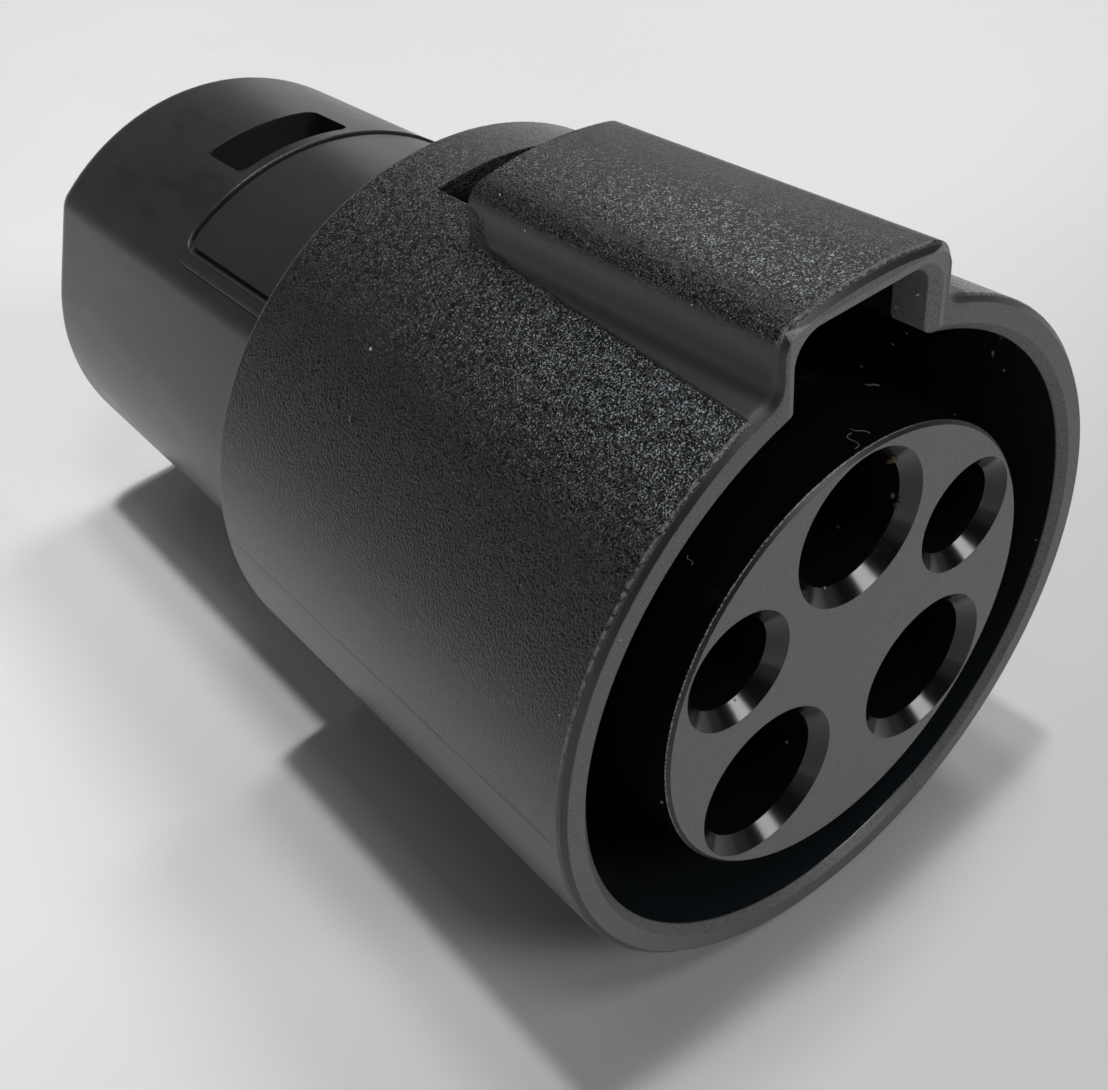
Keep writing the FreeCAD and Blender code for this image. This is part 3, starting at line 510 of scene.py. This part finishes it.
def boss_finish():
    f = Finish("inlet_plastic")
    radius = (f.x * f.x + f.z * f.z) ** 0.5
    face = under(f.y, BOSS_FACE + FACE_DEPTH, FACE_SOFT)
    rubbed = band(f.y, *RUB_LINE) * over(radius, BOSS_RADIUS - RUB_MARGIN)
    rubbed = rubbed * step(f.z * RUB_LEAN - f.x, *RUB_REACH)
    rubbed = rubbed * step(noise(f, RUB_SIZE, detail=3.0, rough=0.7), *RUB_GAPS)
    grain = step(noise(f, FACE_GRAIN, detail=2.5, rough=0.65), *FACE_GRAIN_STEP)
    cloud = noise(f, BOSS_CLOUD_SIZE, detail=3.0)
    smear = noise(f, SMEAR_SIZE, detail=4.0, rough=0.6, stretch=(1, 0.6, 1))
    smear = step(smear, *SMEAR_STEP)
    colour = painted(f, mix(f, smear, GLOSS, GLOSS_SMEAR),
                     (face, mix(f, grain, FACE_PIT, FACE_TOP)),
                     (rubbed, RUBBED))
    slope = over(radius, BOSS_RADIUS - SLOPE_MARGIN) * (1.0 - face)
    slope = slope * under(f.y, RUB_LINE[0])
    rough = GLOSS_ROUGH + face * FACE_ROUGH + (cloud - 0.5) * CLOUD_ROUGH
    rough = rough + smear * SMEAR_ROUGH + slope * SLOPE_ROUGH
    rings = f.node("ShaderNodeTexWave", {"wave_type": "BANDS", "bands_direction": "Y"},
                   f.place, Scale=1 / (RING_STEP * MM) / WAVE_RATE,
                   Distortion=2.0, Detail=2.0)
    height = grain * face + rings * (1.0 - face) * RING_PART
    return f.shade(Base_Color=colour, Roughness=rough, IOR=PLASTIC_IOR,
                   Normal=bump(f, height, BOSS_DEPTH, soft_edges(f, BOSS_ROUND)))


smooth_copy("inlet_housing", boss_finish())

# %% [markdown]
# ## The plug body and the label's place
#
# The plug body is satin all over, with the smudges that fingers leave, and its lock
# slot is painted a little darker, a painted shade. The label's place is left bare: a dark
# film, glossier than the plastic, in its recess.

# %% Satin plug body and label film
SLOT_SIDE = 6.05
SLOT_FRONT, SLOT_REAR = 64.9, 71.7
SLOT_TOP = 17.9
PLUG_END = 0.05
PLUG_DARK, PLUG_PALE = grey(0.029, 0.06), grey(0.036, 0.03)
SMUDGE, SLOT_SHADE, END_FACE = grey(0.020, 0.05), grey(0.022, 0.1), grey(0.034)
PLUG_CLOUD_SIZE = 7.0
SMUDGE_SIZE, SMUDGE_STEP, SMUDGE_PART = 3.5, (0.50, 0.66), 0.4
PLUG_ROUGH, SMUDGE_SHEEN = 0.34, 0.05
PLUG_GRAIN, PLUG_DEPTH, PLUG_ROUND = 0.14, 0.010, 0.12
FILM_DARK, FILM_PALE = (0.029, 0.030, 0.027), (0.038, 0.039, 0.035)
FILM_CLOUD_SIZE, FILM_ROUGH = 5.0, 0.30
CREASE_SIZE, CREASE_DEPTH = 9.0, 0.10


def plug_finish():
    f = Finish("plug_plastic")
    cloud = noise(f, PLUG_CLOUD_SIZE, detail=3.0)
    smudge = noise(f, SMUDGE_SIZE, detail=4.0, rough=0.6, stretch=(1, 0.35, 1))
    smudge = step(smudge, *SMUDGE_STEP)
    fine = noise(f, PLUG_GRAIN, detail=2.0, rough=0.6)
    in_slot = under(abs(f.x), SLOT_SIDE) * over(f.y, SLOT_FRONT) * under(f.y, SLOT_REAR)
    colour = painted(f, mix(f, cloud, PLUG_DARK, PLUG_PALE),
                     (smudge * SMUDGE_PART, SMUDGE),
                     # painted shade in the lock slot
                     (in_slot * under(f.z, SLOT_TOP), SLOT_SHADE),
                     (over(f.y, PLUG_HIGH[1] - PLUG_END), END_FACE))
    rough = PLUG_ROUGH + (cloud - 0.5) * CLOUD_ROUGH - smudge * SMUDGE_SHEEN
    return f.shade(Base_Color=colour, Roughness=rough, IOR=PLASTIC_IOR,
                   Normal=bump(f, fine, PLUG_DEPTH, soft_edges(f, PLUG_ROUND)))


def label_finish():
    f = Finish("label_film")
    cloud = noise(f, FILM_CLOUD_SIZE, detail=3.0)
    crease = noise(f, CREASE_SIZE, detail=2.0, stretch=(1, 0.4, 1))
    return f.shade(Base_Color=mix(f, cloud, FILM_DARK, FILM_PALE),
                   Roughness=FILM_ROUGH + cloud * CLOUD_ROUGH,
                   Normal=bump(f, crease, CREASE_DEPTH))


plug_plastic = plug_finish()
smooth_copy("plug_body", plug_plastic)
smooth_copy("label_plate", label_finish())

# %% [markdown]
# ## Contacts and inner pieces
#
# Only a glint of metal shows down the holes, but a reader who turns the adapter round
# sees the sockets' mouths, so each metal gets its own brushed finish, and the plastic
# and rubber inside a plain one.

# %% Metals, inner plastic and rubber
STREAK_SIZE, STREAK_DEPTH = 0.4, 0.004
STREAK_DARK, STREAK_ROUGH = 0.8, 0.12
METAL_ROUND = 0.05
INNER_SIZE, INNER_DEPTH, INNER_SPREAD = 2.0, 0.02, 0.2


def metal_finish(name, colour, rough):
    """Metal brushed along the axis."""
    f = Finish(name)
    streak = noise(f, STREAK_SIZE, detail=3.0, stretch=(1, 0.08, 1))
    tint = mix(f, streak, tuple(STREAK_DARK * c for c in colour), colour)
    return f.shade(Base_Color=tint, Metallic=1.0, Roughness=rough + streak * STREAK_ROUGH,
                   Normal=bump(f, streak, STREAK_DEPTH, soft_edges(f, METAL_ROUND)))


def inner_finish(name, shade, rough):
    """Plain plastic or rubber, a bit uneven."""
    f = Finish(name)
    cloud = noise(f, INNER_SIZE, detail=2.0)
    dark, pale = grey(shade * (1 - INNER_SPREAD)), grey(shade * (1 + INNER_SPREAD))
    return f.shade(Base_Color=mix(f, cloud, dark, pale), Roughness=rough,
                   Normal=bump(f, cloud, INNER_DEPTH))


silver = metal_finish("contact_metal", (0.82, 0.80, 0.76), 0.22)
brass = metal_finish("link_brass", (0.80, 0.60, 0.32), 0.3)
spring = metal_finish("band_steel", (0.6, 0.6, 0.6), 0.3)
steel = metal_finish("screw_steel", (0.55, 0.55, 0.56), 0.35)
inner = inner_finish("inner_plastic", 0.05, 0.5)
rubber = inner_finish("gasket_rubber", 0.02, 0.7)

for circuit in ("line_left", "line_right", "ground", "pilot", "proximity"):
    smooth_copy(circuit + "_pin", silver)
    smooth_copy(circuit + "_socket", silver)
    smooth_copy(circuit + "_link", brass)
    smooth_copy(circuit + "_band", spring)
smooth_copy("pin_retainer", inner)
smooth_copy("socket_carrier", inner)
smooth_copy("retainer_screws", steel)
smooth_copy("body_gasket", rubber)

# %% [markdown]
# ## Tubes along a path
#
# The label's raised border, a textile fibre and a grain of dust are the same surface:
# a ring carried along a path while its radius changes. A long path with one radius is
# a bead or a fibre, and a short one whose radius follows a half circle is a pebble.

# %% A closed tube
RING = 8


def tube(path, radius, upward):
    """A closed tube round a path, as points and faces.

    Ring k has its points at P(k, t) = path[k] + radius[k] (cos t A[k] + sin t B[k]),
    where A and B are unit vectors square to the path, and A cross B runs along it, so
    that the faces look outward. B is as close to upward as it can be. The first and
    the last ring are closed by a flat cap.
    """
    path = np.asarray(path, float)
    along = np.gradient(path, axis=0)
    along /= np.linalg.norm(along, axis=1)[:, None]
    rise = np.broadcast_to(np.asarray(upward, float), path.shape)
    b = rise - (rise * along).sum(axis=1)[:, None] * along
    b /= np.linalg.norm(b, axis=1)[:, None]
    a = np.cross(b, along)
    turn = (np.arange(RING) * 2 * math.pi / RING)[None, :, None]
    ring = a[:, None] * np.cos(turn) + b[:, None] * np.sin(turn)
    points = path[:, None] + ring * np.broadcast_to(radius, len(path))[:, None, None]
    here = np.arange(len(path) * RING).reshape(-1, RING)
    beside = np.roll(here, -1, axis=1)
    walls = np.stack([here[:-1], beside[:-1], beside[1:], here[1:]], axis=-1)
    caps = [here[0, ::-1].tolist(), here[-1].tolist()]
    return points.reshape(-1, 3), walls.reshape(-1, 4).tolist() + caps


print("tubes with", RING, "points round them")

# %% [markdown]
# ## One object from many tubes
#
# A hundred specks as a hundred objects would be slow to handle, so tubes of one kind
# and material share an object. A tube that would stand out of the adapter's own box is
# left out, so that the dressed model measures exactly what the mouldings do.

# %% Tubes into an object
BOX_LOW, BOX_HIGH = np.array(cad_box) / MM


def piece_of(name, tubes, material):
    """One object that holds those of the tubes, in millimetres, that are in the box."""
    tubes = [(spots, sides) for spots, sides in tubes
             if (spots >= BOX_LOW).all() and (spots <= BOX_HIGH).all()]
    points, faces, start = [], [], 0
    for spots, sides in tubes:
        points.append(spots * MM)
        faces += [[start + n for n in face] for face in sides]
        start += len(spots)
    mesh = bpy.data.meshes.new(name)
    mesh.from_pydata(np.concatenate(points).tolist(), [], faces)
    mesh.materials.append(material)
    shade_smooth(mesh)
    piece = add_object(name, mesh)
    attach(piece, "root")
    print(name, len(tubes), "pieces,", len(faces), "faces")


print("box of the adapter from", BOX_LOW.round(2), "to", BOX_HIGH.round(2), "mm")

# %% [markdown]
# ## The label's border
#
# A fine bead runs round the recess, and outside its long edges stands a second, wider
# ridge. Both lie on the plug's top, which is a round of 23.6 mm about a line below the
# axis, so a point x off the middle stands at sqrt(R^2 - x^2) above that line.

# %% Bead and ridges
TOP_RADIUS = 23.6
LABEL_SUNK = 0.15
TOP_CENTRE = float(LABEL_HIGH[2]) + LABEL_SUNK - TOP_RADIUS
BORDER_FRONT = float(SHELL_HIGH[1]) + 0.05
BEAD_OFF = 0.58                     # from the label's edge to the bead's middle
BEAD_AT = float(LABEL_HIGH[0]) + BEAD_OFF
BEAD_REAR = float(LABEL_HIGH[1]) + BEAD_OFF
BEAD_CORNER = 1.7
BEAD_RADIUS = 0.11
RUN_POINTS, CORNER_POINTS, ACROSS_POINTS = 30, 10, 50
RIDGE_AT = float(LABEL_HIGH[0]) + 1.45
RIDGE_REAR = float(LABEL_HIGH[1]) - 0.2
RIDGE_RADIUS = 0.20
RIDGE_POINTS = 40
RIDGE_TIP, RIDGE_GROWTH = 0.3, 0.25     # share of the radius at the tip, and per point


def on_top(x, y):
    """Points on the plug's round top, for arrays of x and y."""
    x, y = np.broadcast_arrays(np.asarray(x, float), np.asarray(y, float))
    return np.stack([x, y, TOP_CENTRE + np.sqrt(TOP_RADIUS ** 2 - x ** 2)], axis=1)


def bead_path():
    """Up the left edge, round two quarter circles, and down the right edge."""
    straight = BEAD_AT - BEAD_CORNER
    quarter = np.linspace(0, math.pi / 2, CORNER_POINTS)
    run = np.linspace(BORDER_FRONT, BEAD_REAR - BEAD_CORNER, RUN_POINTS)
    across = np.linspace(-BEAD_AT + BEAD_CORNER, straight, ACROSS_POINTS)[1:]
    turn_x = straight + BEAD_CORNER * np.cos(quarter)
    turn_y = BEAD_REAR - BEAD_CORNER + BEAD_CORNER * np.sin(quarter)
    x = np.concatenate([np.full_like(run, -BEAD_AT), -turn_x[1:], across,
                        turn_x[::-1][1:], np.full_like(run[1:], BEAD_AT)])
    y = np.concatenate([run, turn_y[1:], np.full_like(across, BEAD_REAR),
                        turn_y[::-1][1:], run[::-1][1:]])
    return on_top(x, y)


beads = [tube(bead_path(), BEAD_RADIUS, (0, 0, 1))]
for side in (-1, 1):
    route = on_top(side * RIDGE_AT, np.linspace(BORDER_FRONT, RIDGE_REAR, RIDGE_POINTS))
    ends = np.minimum(1.0, RIDGE_TIP + np.arange(RIDGE_POINTS)[::-1] * RIDGE_GROWTH)
    beads.append(tube(route, RIDGE_RADIUS * ends, (side, 0, 1)))
piece_of("label_border", beads, plug_plastic)

# %% [markdown]
# ## Camera
#
# The photograph was matched point by point: its camera stood 98 mm from the rim and
# looked down at 36 degrees. The picture is a crop, so the lens axis lies off its
# centre, and the sensor shift says by how much.

# %% Camera
IMAGE = (1108, 1090)
FOCAL_PX = 1384.2
AXIS_PX = (400.4, 452.9)
EYE = Vector((-55.30, -42.68, 68.74)) * MM
RIGHT = Vector((0.80922, -0.57095, -0.13851))
DOWN = Vector((-0.43216, -0.41876, -0.79867))
FORWARD = Vector((0.39800, 0.70616, -0.58561))
SENSOR = 36.0
NEAREST, FARTHEST = 0.001, 50.0

lens = bpy.data.cameras.new("camera")
lens.sensor_fit = "HORIZONTAL"
lens.sensor_width = SENSOR
lens.lens = FOCAL_PX / IMAGE[0] * SENSOR
lens.shift_x = (IMAGE[0] / 2 - AXIS_PX[0]) / IMAGE[0]
lens.shift_y = -(IMAGE[1] / 2 - AXIS_PX[1]) / IMAGE[0]
lens.clip_start, lens.clip_end = NEAREST, FARTHEST
camera = add_object("camera", lens)
turn = Matrix((RIGHT, -DOWN, -FORWARD)).transposed().to_4x4()
camera.matrix_world = Matrix.Translation(EYE) @ turn
bpy.context.scene.camera = camera
print("lens", round(lens.lens, 2), "mm, shift", round(lens.shift_x, 4),
      round(lens.shift_y, 4))

# %% [markdown]
# ## Dust, fibres and crumbs
#
# Each speck that the photograph shows is put back where it was seen: a ray from the
# camera through its place in the picture is followed until it meets a moulding.

# %% Rays from the camera
def mouldings_tree():
    """A search tree over the faces of all smooth copies."""
    points, faces, start = [], [], 0
    for piece in MOULDINGS:
        mesh = piece.data
        spots = np.empty(len(mesh.vertices) * 3)
        mesh.vertices.foreach_get("co", spots)
        points += spots.reshape(-1, 3).tolist()
        faces += [[start + n for n in face.vertices] for face in mesh.polygons]
        start += len(mesh.vertices)
    print("search tree over", len(faces), "faces")
    return BVHTree.FromPolygons(points, faces)


TREE = mouldings_tree()


def seen_at(px, py):
    """Where the ray through a picture point meets the adapter, and the normal there."""
    ahead = (RIGHT * (px - AXIS_PX[0]) + DOWN * (py - AXIS_PX[1])) / FOCAL_PX + FORWARD
    spot, normal, *rest = TREE.ray_cast(EYE, ahead.normalized())
    return (None, None) if spot is None else (np.array(spot) / MM, np.array(normal))


def on_mouldings(marks):
    """For each mark whose ray meets a moulding: the spot, the normal, its own values."""
    for place, *values in marks:
        spot, normal = seen_at(*place)
        if spot is not None:
            yield spot, normal, *values


# %% [markdown]
# ## A pebble and a hair
#
# Both are tubes. The pebble's path is short and straight and its radius rises and falls
# as a half circle, made uneven by chance. The hair's path is a flat wave, and each of
# its points is then moved to the nearest spot on a moulding, so that it lies on it.

# %% Pebble and fibre
PEBBLE = np.linspace(0.08, 0.92, 6)
PEBBLE_LIFT = 0.3
PEBBLE_LENGTH = 2.2
PEBBLE_UNEVEN = (0.55, 1.0)
FIBRE_POINTS = 24
FIBRE_THICKNESS = 0.022


def pebble(spot, normal, size, chance):
    """A grain on the surface, with the radius sqrt(1 - (2t - 1)^2) along its path."""
    lean = np.cross(normal, chance.normal(size=3))
    lean /= np.linalg.norm(lean)
    reach = (PEBBLE[:, None] - 0.5) * PEBBLE_LENGTH
    path = spot + normal * size * PEBBLE_LIFT + lean * size * reach
    uneven = chance.uniform(*PEBBLE_UNEVEN, len(PEBBLE))
    return tube(path, size * np.sqrt(1 - (2 * PEBBLE - 1) ** 2) * uneven, normal)


def fibre(spot, normal, length, heading, curl):
    """A hair that lies on the surface: x = L t, y = curl sin(2 pi t), pressed down."""
    ahead = np.cross(normal, (math.cos(heading), math.sin(heading), 0.3))
    ahead /= np.linalg.norm(ahead)
    aside = np.cross(normal, ahead)
    path = []
    for t in np.linspace(-0.5, 0.5, FIBRE_POINTS):
        point = spot + ahead * length * t + aside * curl * math.sin(2 * math.pi * t)
        near, up, *rest = TREE.find_nearest(Vector(point) * MM)
        path.append(np.array(near) / MM + np.array(up) * FIBRE_THICKNESS)
    return tube(path, FIBRE_THICKNESS, normal)


print("a pebble has", len(PEBBLE), "rings, a fibre", FIBRE_POINTS)

# %% [markdown]
# ## Where they lie
#
# Pale specks first, then the brown crumbs in the top contact hole, then the fibres.
# Picture places are in the photograph's pixels, sizes in millimetres. Finer dust that
# no eye would count is scattered over the upward surfaces from one seed.

# %% Specks and fibres
SEED = 7
PALE = (((371, 349), 0.12), ((921, 480), 0.13), ((988, 577), 0.09), ((662, 802), 0.10),
        ((787, 742), 0.10), ((824, 588), 0.09), ((862, 366), 0.11), ((918, 294), 0.13),
        ((896, 307), 0.09), ((907, 333), 0.09), ((925, 481), 0.08), ((955, 414), 0.08),
        ((993, 352), 0.10), ((1004, 370), 0.07), ((500, 195), 0.07), ((525, 231), 0.07),
        ((692, 305), 0.06), ((620, 640), 0.06), ((560, 715), 0.05), ((735, 700), 0.08),
        ((1036, 540), 0.07), ((893, 344), 0.08))
BROWN = (((893, 458), 0.30), ((889, 461), 0.18), ((893, 495), 0.22), ((897, 505), 0.26),
         ((900, 499), 0.14), ((838, 527), 0.14), ((745, 950), 0.16), ((737, 945), 0.18))
FIBRES = (((350, 419), 0.5, 2.4, 0.02), ((853, 441), 1.6, 2.4, 0.30),
          ((860, 431), 1.2, 0.4, 0.10), ((872, 385), 1.3, 1.2, 0.15),
          ((993, 355), 0.9, 1.9, 0.05), ((690, 560), 0.7, 2.8, 0.12))
DUST_COUNT = 120
DUST_SIZE = (0.012, 0.030)
DUST_FROM = 1.0             # height in metres from which the fine dust falls
LINT_SIZE, LINT_DARK = 0.3, 0.7


def lint_finish(name, colour, rough):
    """Dust, crumb or fibre: dull, and a bit uneven in colour."""
    f = Finish(name)
    cloud = noise(f, LINT_SIZE, detail=2.0)
    dark = tuple(LINT_DARK * c for c in colour)
    return f.shade(Base_Color=mix(f, cloud, dark, colour), Roughness=rough)


chance = np.random.default_rng(SEED)
pale = [pebble(*mark, chance) for mark in on_mouldings(PALE)]
brown = [pebble(*mark, chance) for mark in on_mouldings(BROWN)]
hairs = [fibre(*mark) for mark in on_mouldings(FIBRES)]

while len(pale) < len(PALE) + DUST_COUNT:
    over_it = Vector((chance.uniform(cad_box[0][0], cad_box[1][0]),
                      chance.uniform(cad_box[0][1], cad_box[1][1]), DUST_FROM))
    spot, normal, *rest = TREE.ray_cast(over_it, Vector((0, 0, -1)))
    if spot is not None:
        size = chance.uniform(*DUST_SIZE)
        pale.append(pebble(np.array(spot) / MM, np.array(normal), size, chance))

piece_of("dust_specks", pale, lint_finish("dust_pale", (0.55, 0.50, 0.45), 0.8))
piece_of("crumbs", brown, lint_finish("crumb_brown", (0.075, 0.055, 0.037), 0.8))
piece_of("fibres", hairs, lint_finish("fibre_grey", (0.30, 0.28, 0.26), 0.7))

# %% [markdown]
# ## The floor
#
# The adapter lies on a white table, faintly smeared. In the photograph the table grows
# darker towards the right and the viewer. A few lamps close above would show that only
# with a second, wrong shadow, so that shade is painted into the table's colour there.

# %% Floor
FLOOR_Z = cad_box[0][2]
FLOOR_HALF = 6.0
# the two darker whites are a painted shadow on the table, to the right and near the viewer
WHITE, WHITE_SHADED_RIGHT = grey(0.945, -0.006), grey(0.80, -0.006)
WHITE_SHADOWED_NEAR = grey(0.52, -0.006)
FLOOR_CLOUD, FLOOR_SMEAR = grey(0.85, -0.004), grey(0.79, -0.01)
FLOOR_CLOUD_SIZE, FLOOR_CLOUD_PART = 60.0, 0.5
FLOOR_SMEAR_SIZE, FLOOR_SMEAR_STEP, FLOOR_SMEAR_PART = 14.0, (0.55, 0.85), 0.3
FLOOR_ROUGH, FLOOR_SPECULAR = 0.4, 0.25
RIGHT_LEAN, RIGHTWARD = 0.5, (-70.0, 30.0)      # millimetres on the table
AWAY = (-30.0, 75.0)
NEAR_RIGHT = (-140.0, 0.0)


def floor_finish():
    f = Finish("floor_white")
    cloud = noise(f, FLOOR_CLOUD_SIZE, detail=2.0)
    smear = noise(f, FLOOR_SMEAR_SIZE, detail=4.0, stretch=(1, 0.5, 1))
    smear = step(smear, *FLOOR_SMEAR_STEP)
    # painted shadow: the table darker to the right and towards the viewer
    right = step(f.x - RIGHT_LEAN * f.y, *RIGHTWARD)
    near = (1.0 - step(f.y, *AWAY)) * step(f.x, *NEAR_RIGHT)
    colour = painted(f, mix(f, right, WHITE, WHITE_SHADED_RIGHT),
                     (cloud * FLOOR_CLOUD_PART, FLOOR_CLOUD),
                     (smear * FLOOR_SMEAR_PART, FLOOR_SMEAR),
                     (near, WHITE_SHADOWED_NEAR))
    return f.shade(Base_Color=colour, Roughness=FLOOR_ROUGH,
                   Specular_IOR_Level=FLOOR_SPECULAR)


corners = np.array([(-1, -1, 0), (1, -1, 0), (1, 1, 0), (-1, 1, 0)], float) * FLOOR_HALF
corners[:, 2] = FLOOR_Z
sheet = bpy.data.meshes.new("floor")
sheet.from_pydata(corners.tolist(), [], [(0, 1, 2, 3)])
sheet.materials.append(floor_finish())
floor = add_object("floor", sheet)
print("floor at", round(FLOOR_Z / MM, 2), "mm")

# %% [markdown]
# ## The light
#
# The photograph's shadow has one crisp edge close to the adapter and soft ones further
# out. The crisp one belongs to a small lamp almost straight above, the soft ones to
# wider lamps on the ceiling behind, to the right and towards the viewer. A pale wall
# on the right and two windows, on the left and in front, put the sheen on the flanks.
# The low part of the room is light grey, because the table runs on to the walls, and
# the rest is nearly black, so that the polished sides stay dark.

# %% Lamps
TARGET = Vector((0.0, 0.035, -0.005))
CEILING, WALL, NEAR_WINDOW = 2.0, 2.5, 1.3


def lamp(name, elevation, azimuth, distance, size, watts):
    """A square light aimed at the adapter. Angles in degrees, azimuth from +X to +Y."""
    data = bpy.data.lights.new(name, "AREA")
    data.shape = "SQUARE"
    data.size = size
    data.energy = watts
    rise, turn = math.radians(elevation), math.radians(azimuth)
    away = Vector((math.cos(rise) * math.cos(turn), math.cos(rise) * math.sin(turn),
                   math.sin(rise)))
    made = add_object(name, data)
    made.location = TARGET + away * distance
    made.rotation_mode = "QUATERNION"
    made.rotation_quaternion = away.to_track_quat("Z", "Y")
    print(name, watts, "W at", [round(c, 2) for c in made.location])


lamp("ceiling_main", 86, 55, CEILING, 0.12, 13.0)
lamp("ceiling_back", 76, 30, CEILING, 0.3, 6.6)
lamp("ceiling_right", 60, 10, CEILING, 0.4, 7.8)
lamp("ceiling_front", 68, 270, CEILING, 0.4, 4.2)
lamp("ceiling_left", 76, 150, CEILING, 0.4, 0.9)
lamp("wall_right", 18, 45, WALL, 1.2, 3.3)
lamp("window_left", 42, 202, WALL, 0.5, 2.2)
lamp("window_front", 31, 292, NEAR_WINDOW, 0.4, 4.2)

# %% [markdown]
# ## The room
#
# The world stands for the room. A ramp reads how high a direction points and goes from
# the table's grey to the dark above it.

# %% Room
ROOM_STOPS = ((0.18, (0.255, 0.239, 0.218, 1)), (0.30, (0.012, 0.016, 0.019, 1)))

world = bpy.data.worlds.new("room")
world.use_nodes = True
bpy.context.scene.world = world
room = NodeTree(world.node_tree)
direction = room.node("ShaderNodeTexCoord", out="Generated")
height = room.node("ShaderNodeSeparateXYZ", {}, direction, out="Z")
ramp = room.node("ShaderNodeValToRGB", {"stops": ROOM_STOPS}, height)
room.feed(room.tree.nodes["Background"].inputs["Color"], ramp)
print("room from", ROOM_STOPS[0][1][:3], "up to", ROOM_STOPS[1][1][:3])

# %% [markdown]
# ## Finish
#
# The Standard view shows colours as they are written.

# %% Finish
scene = bpy.context.scene
scene.view_settings.view_transform = "Standard"
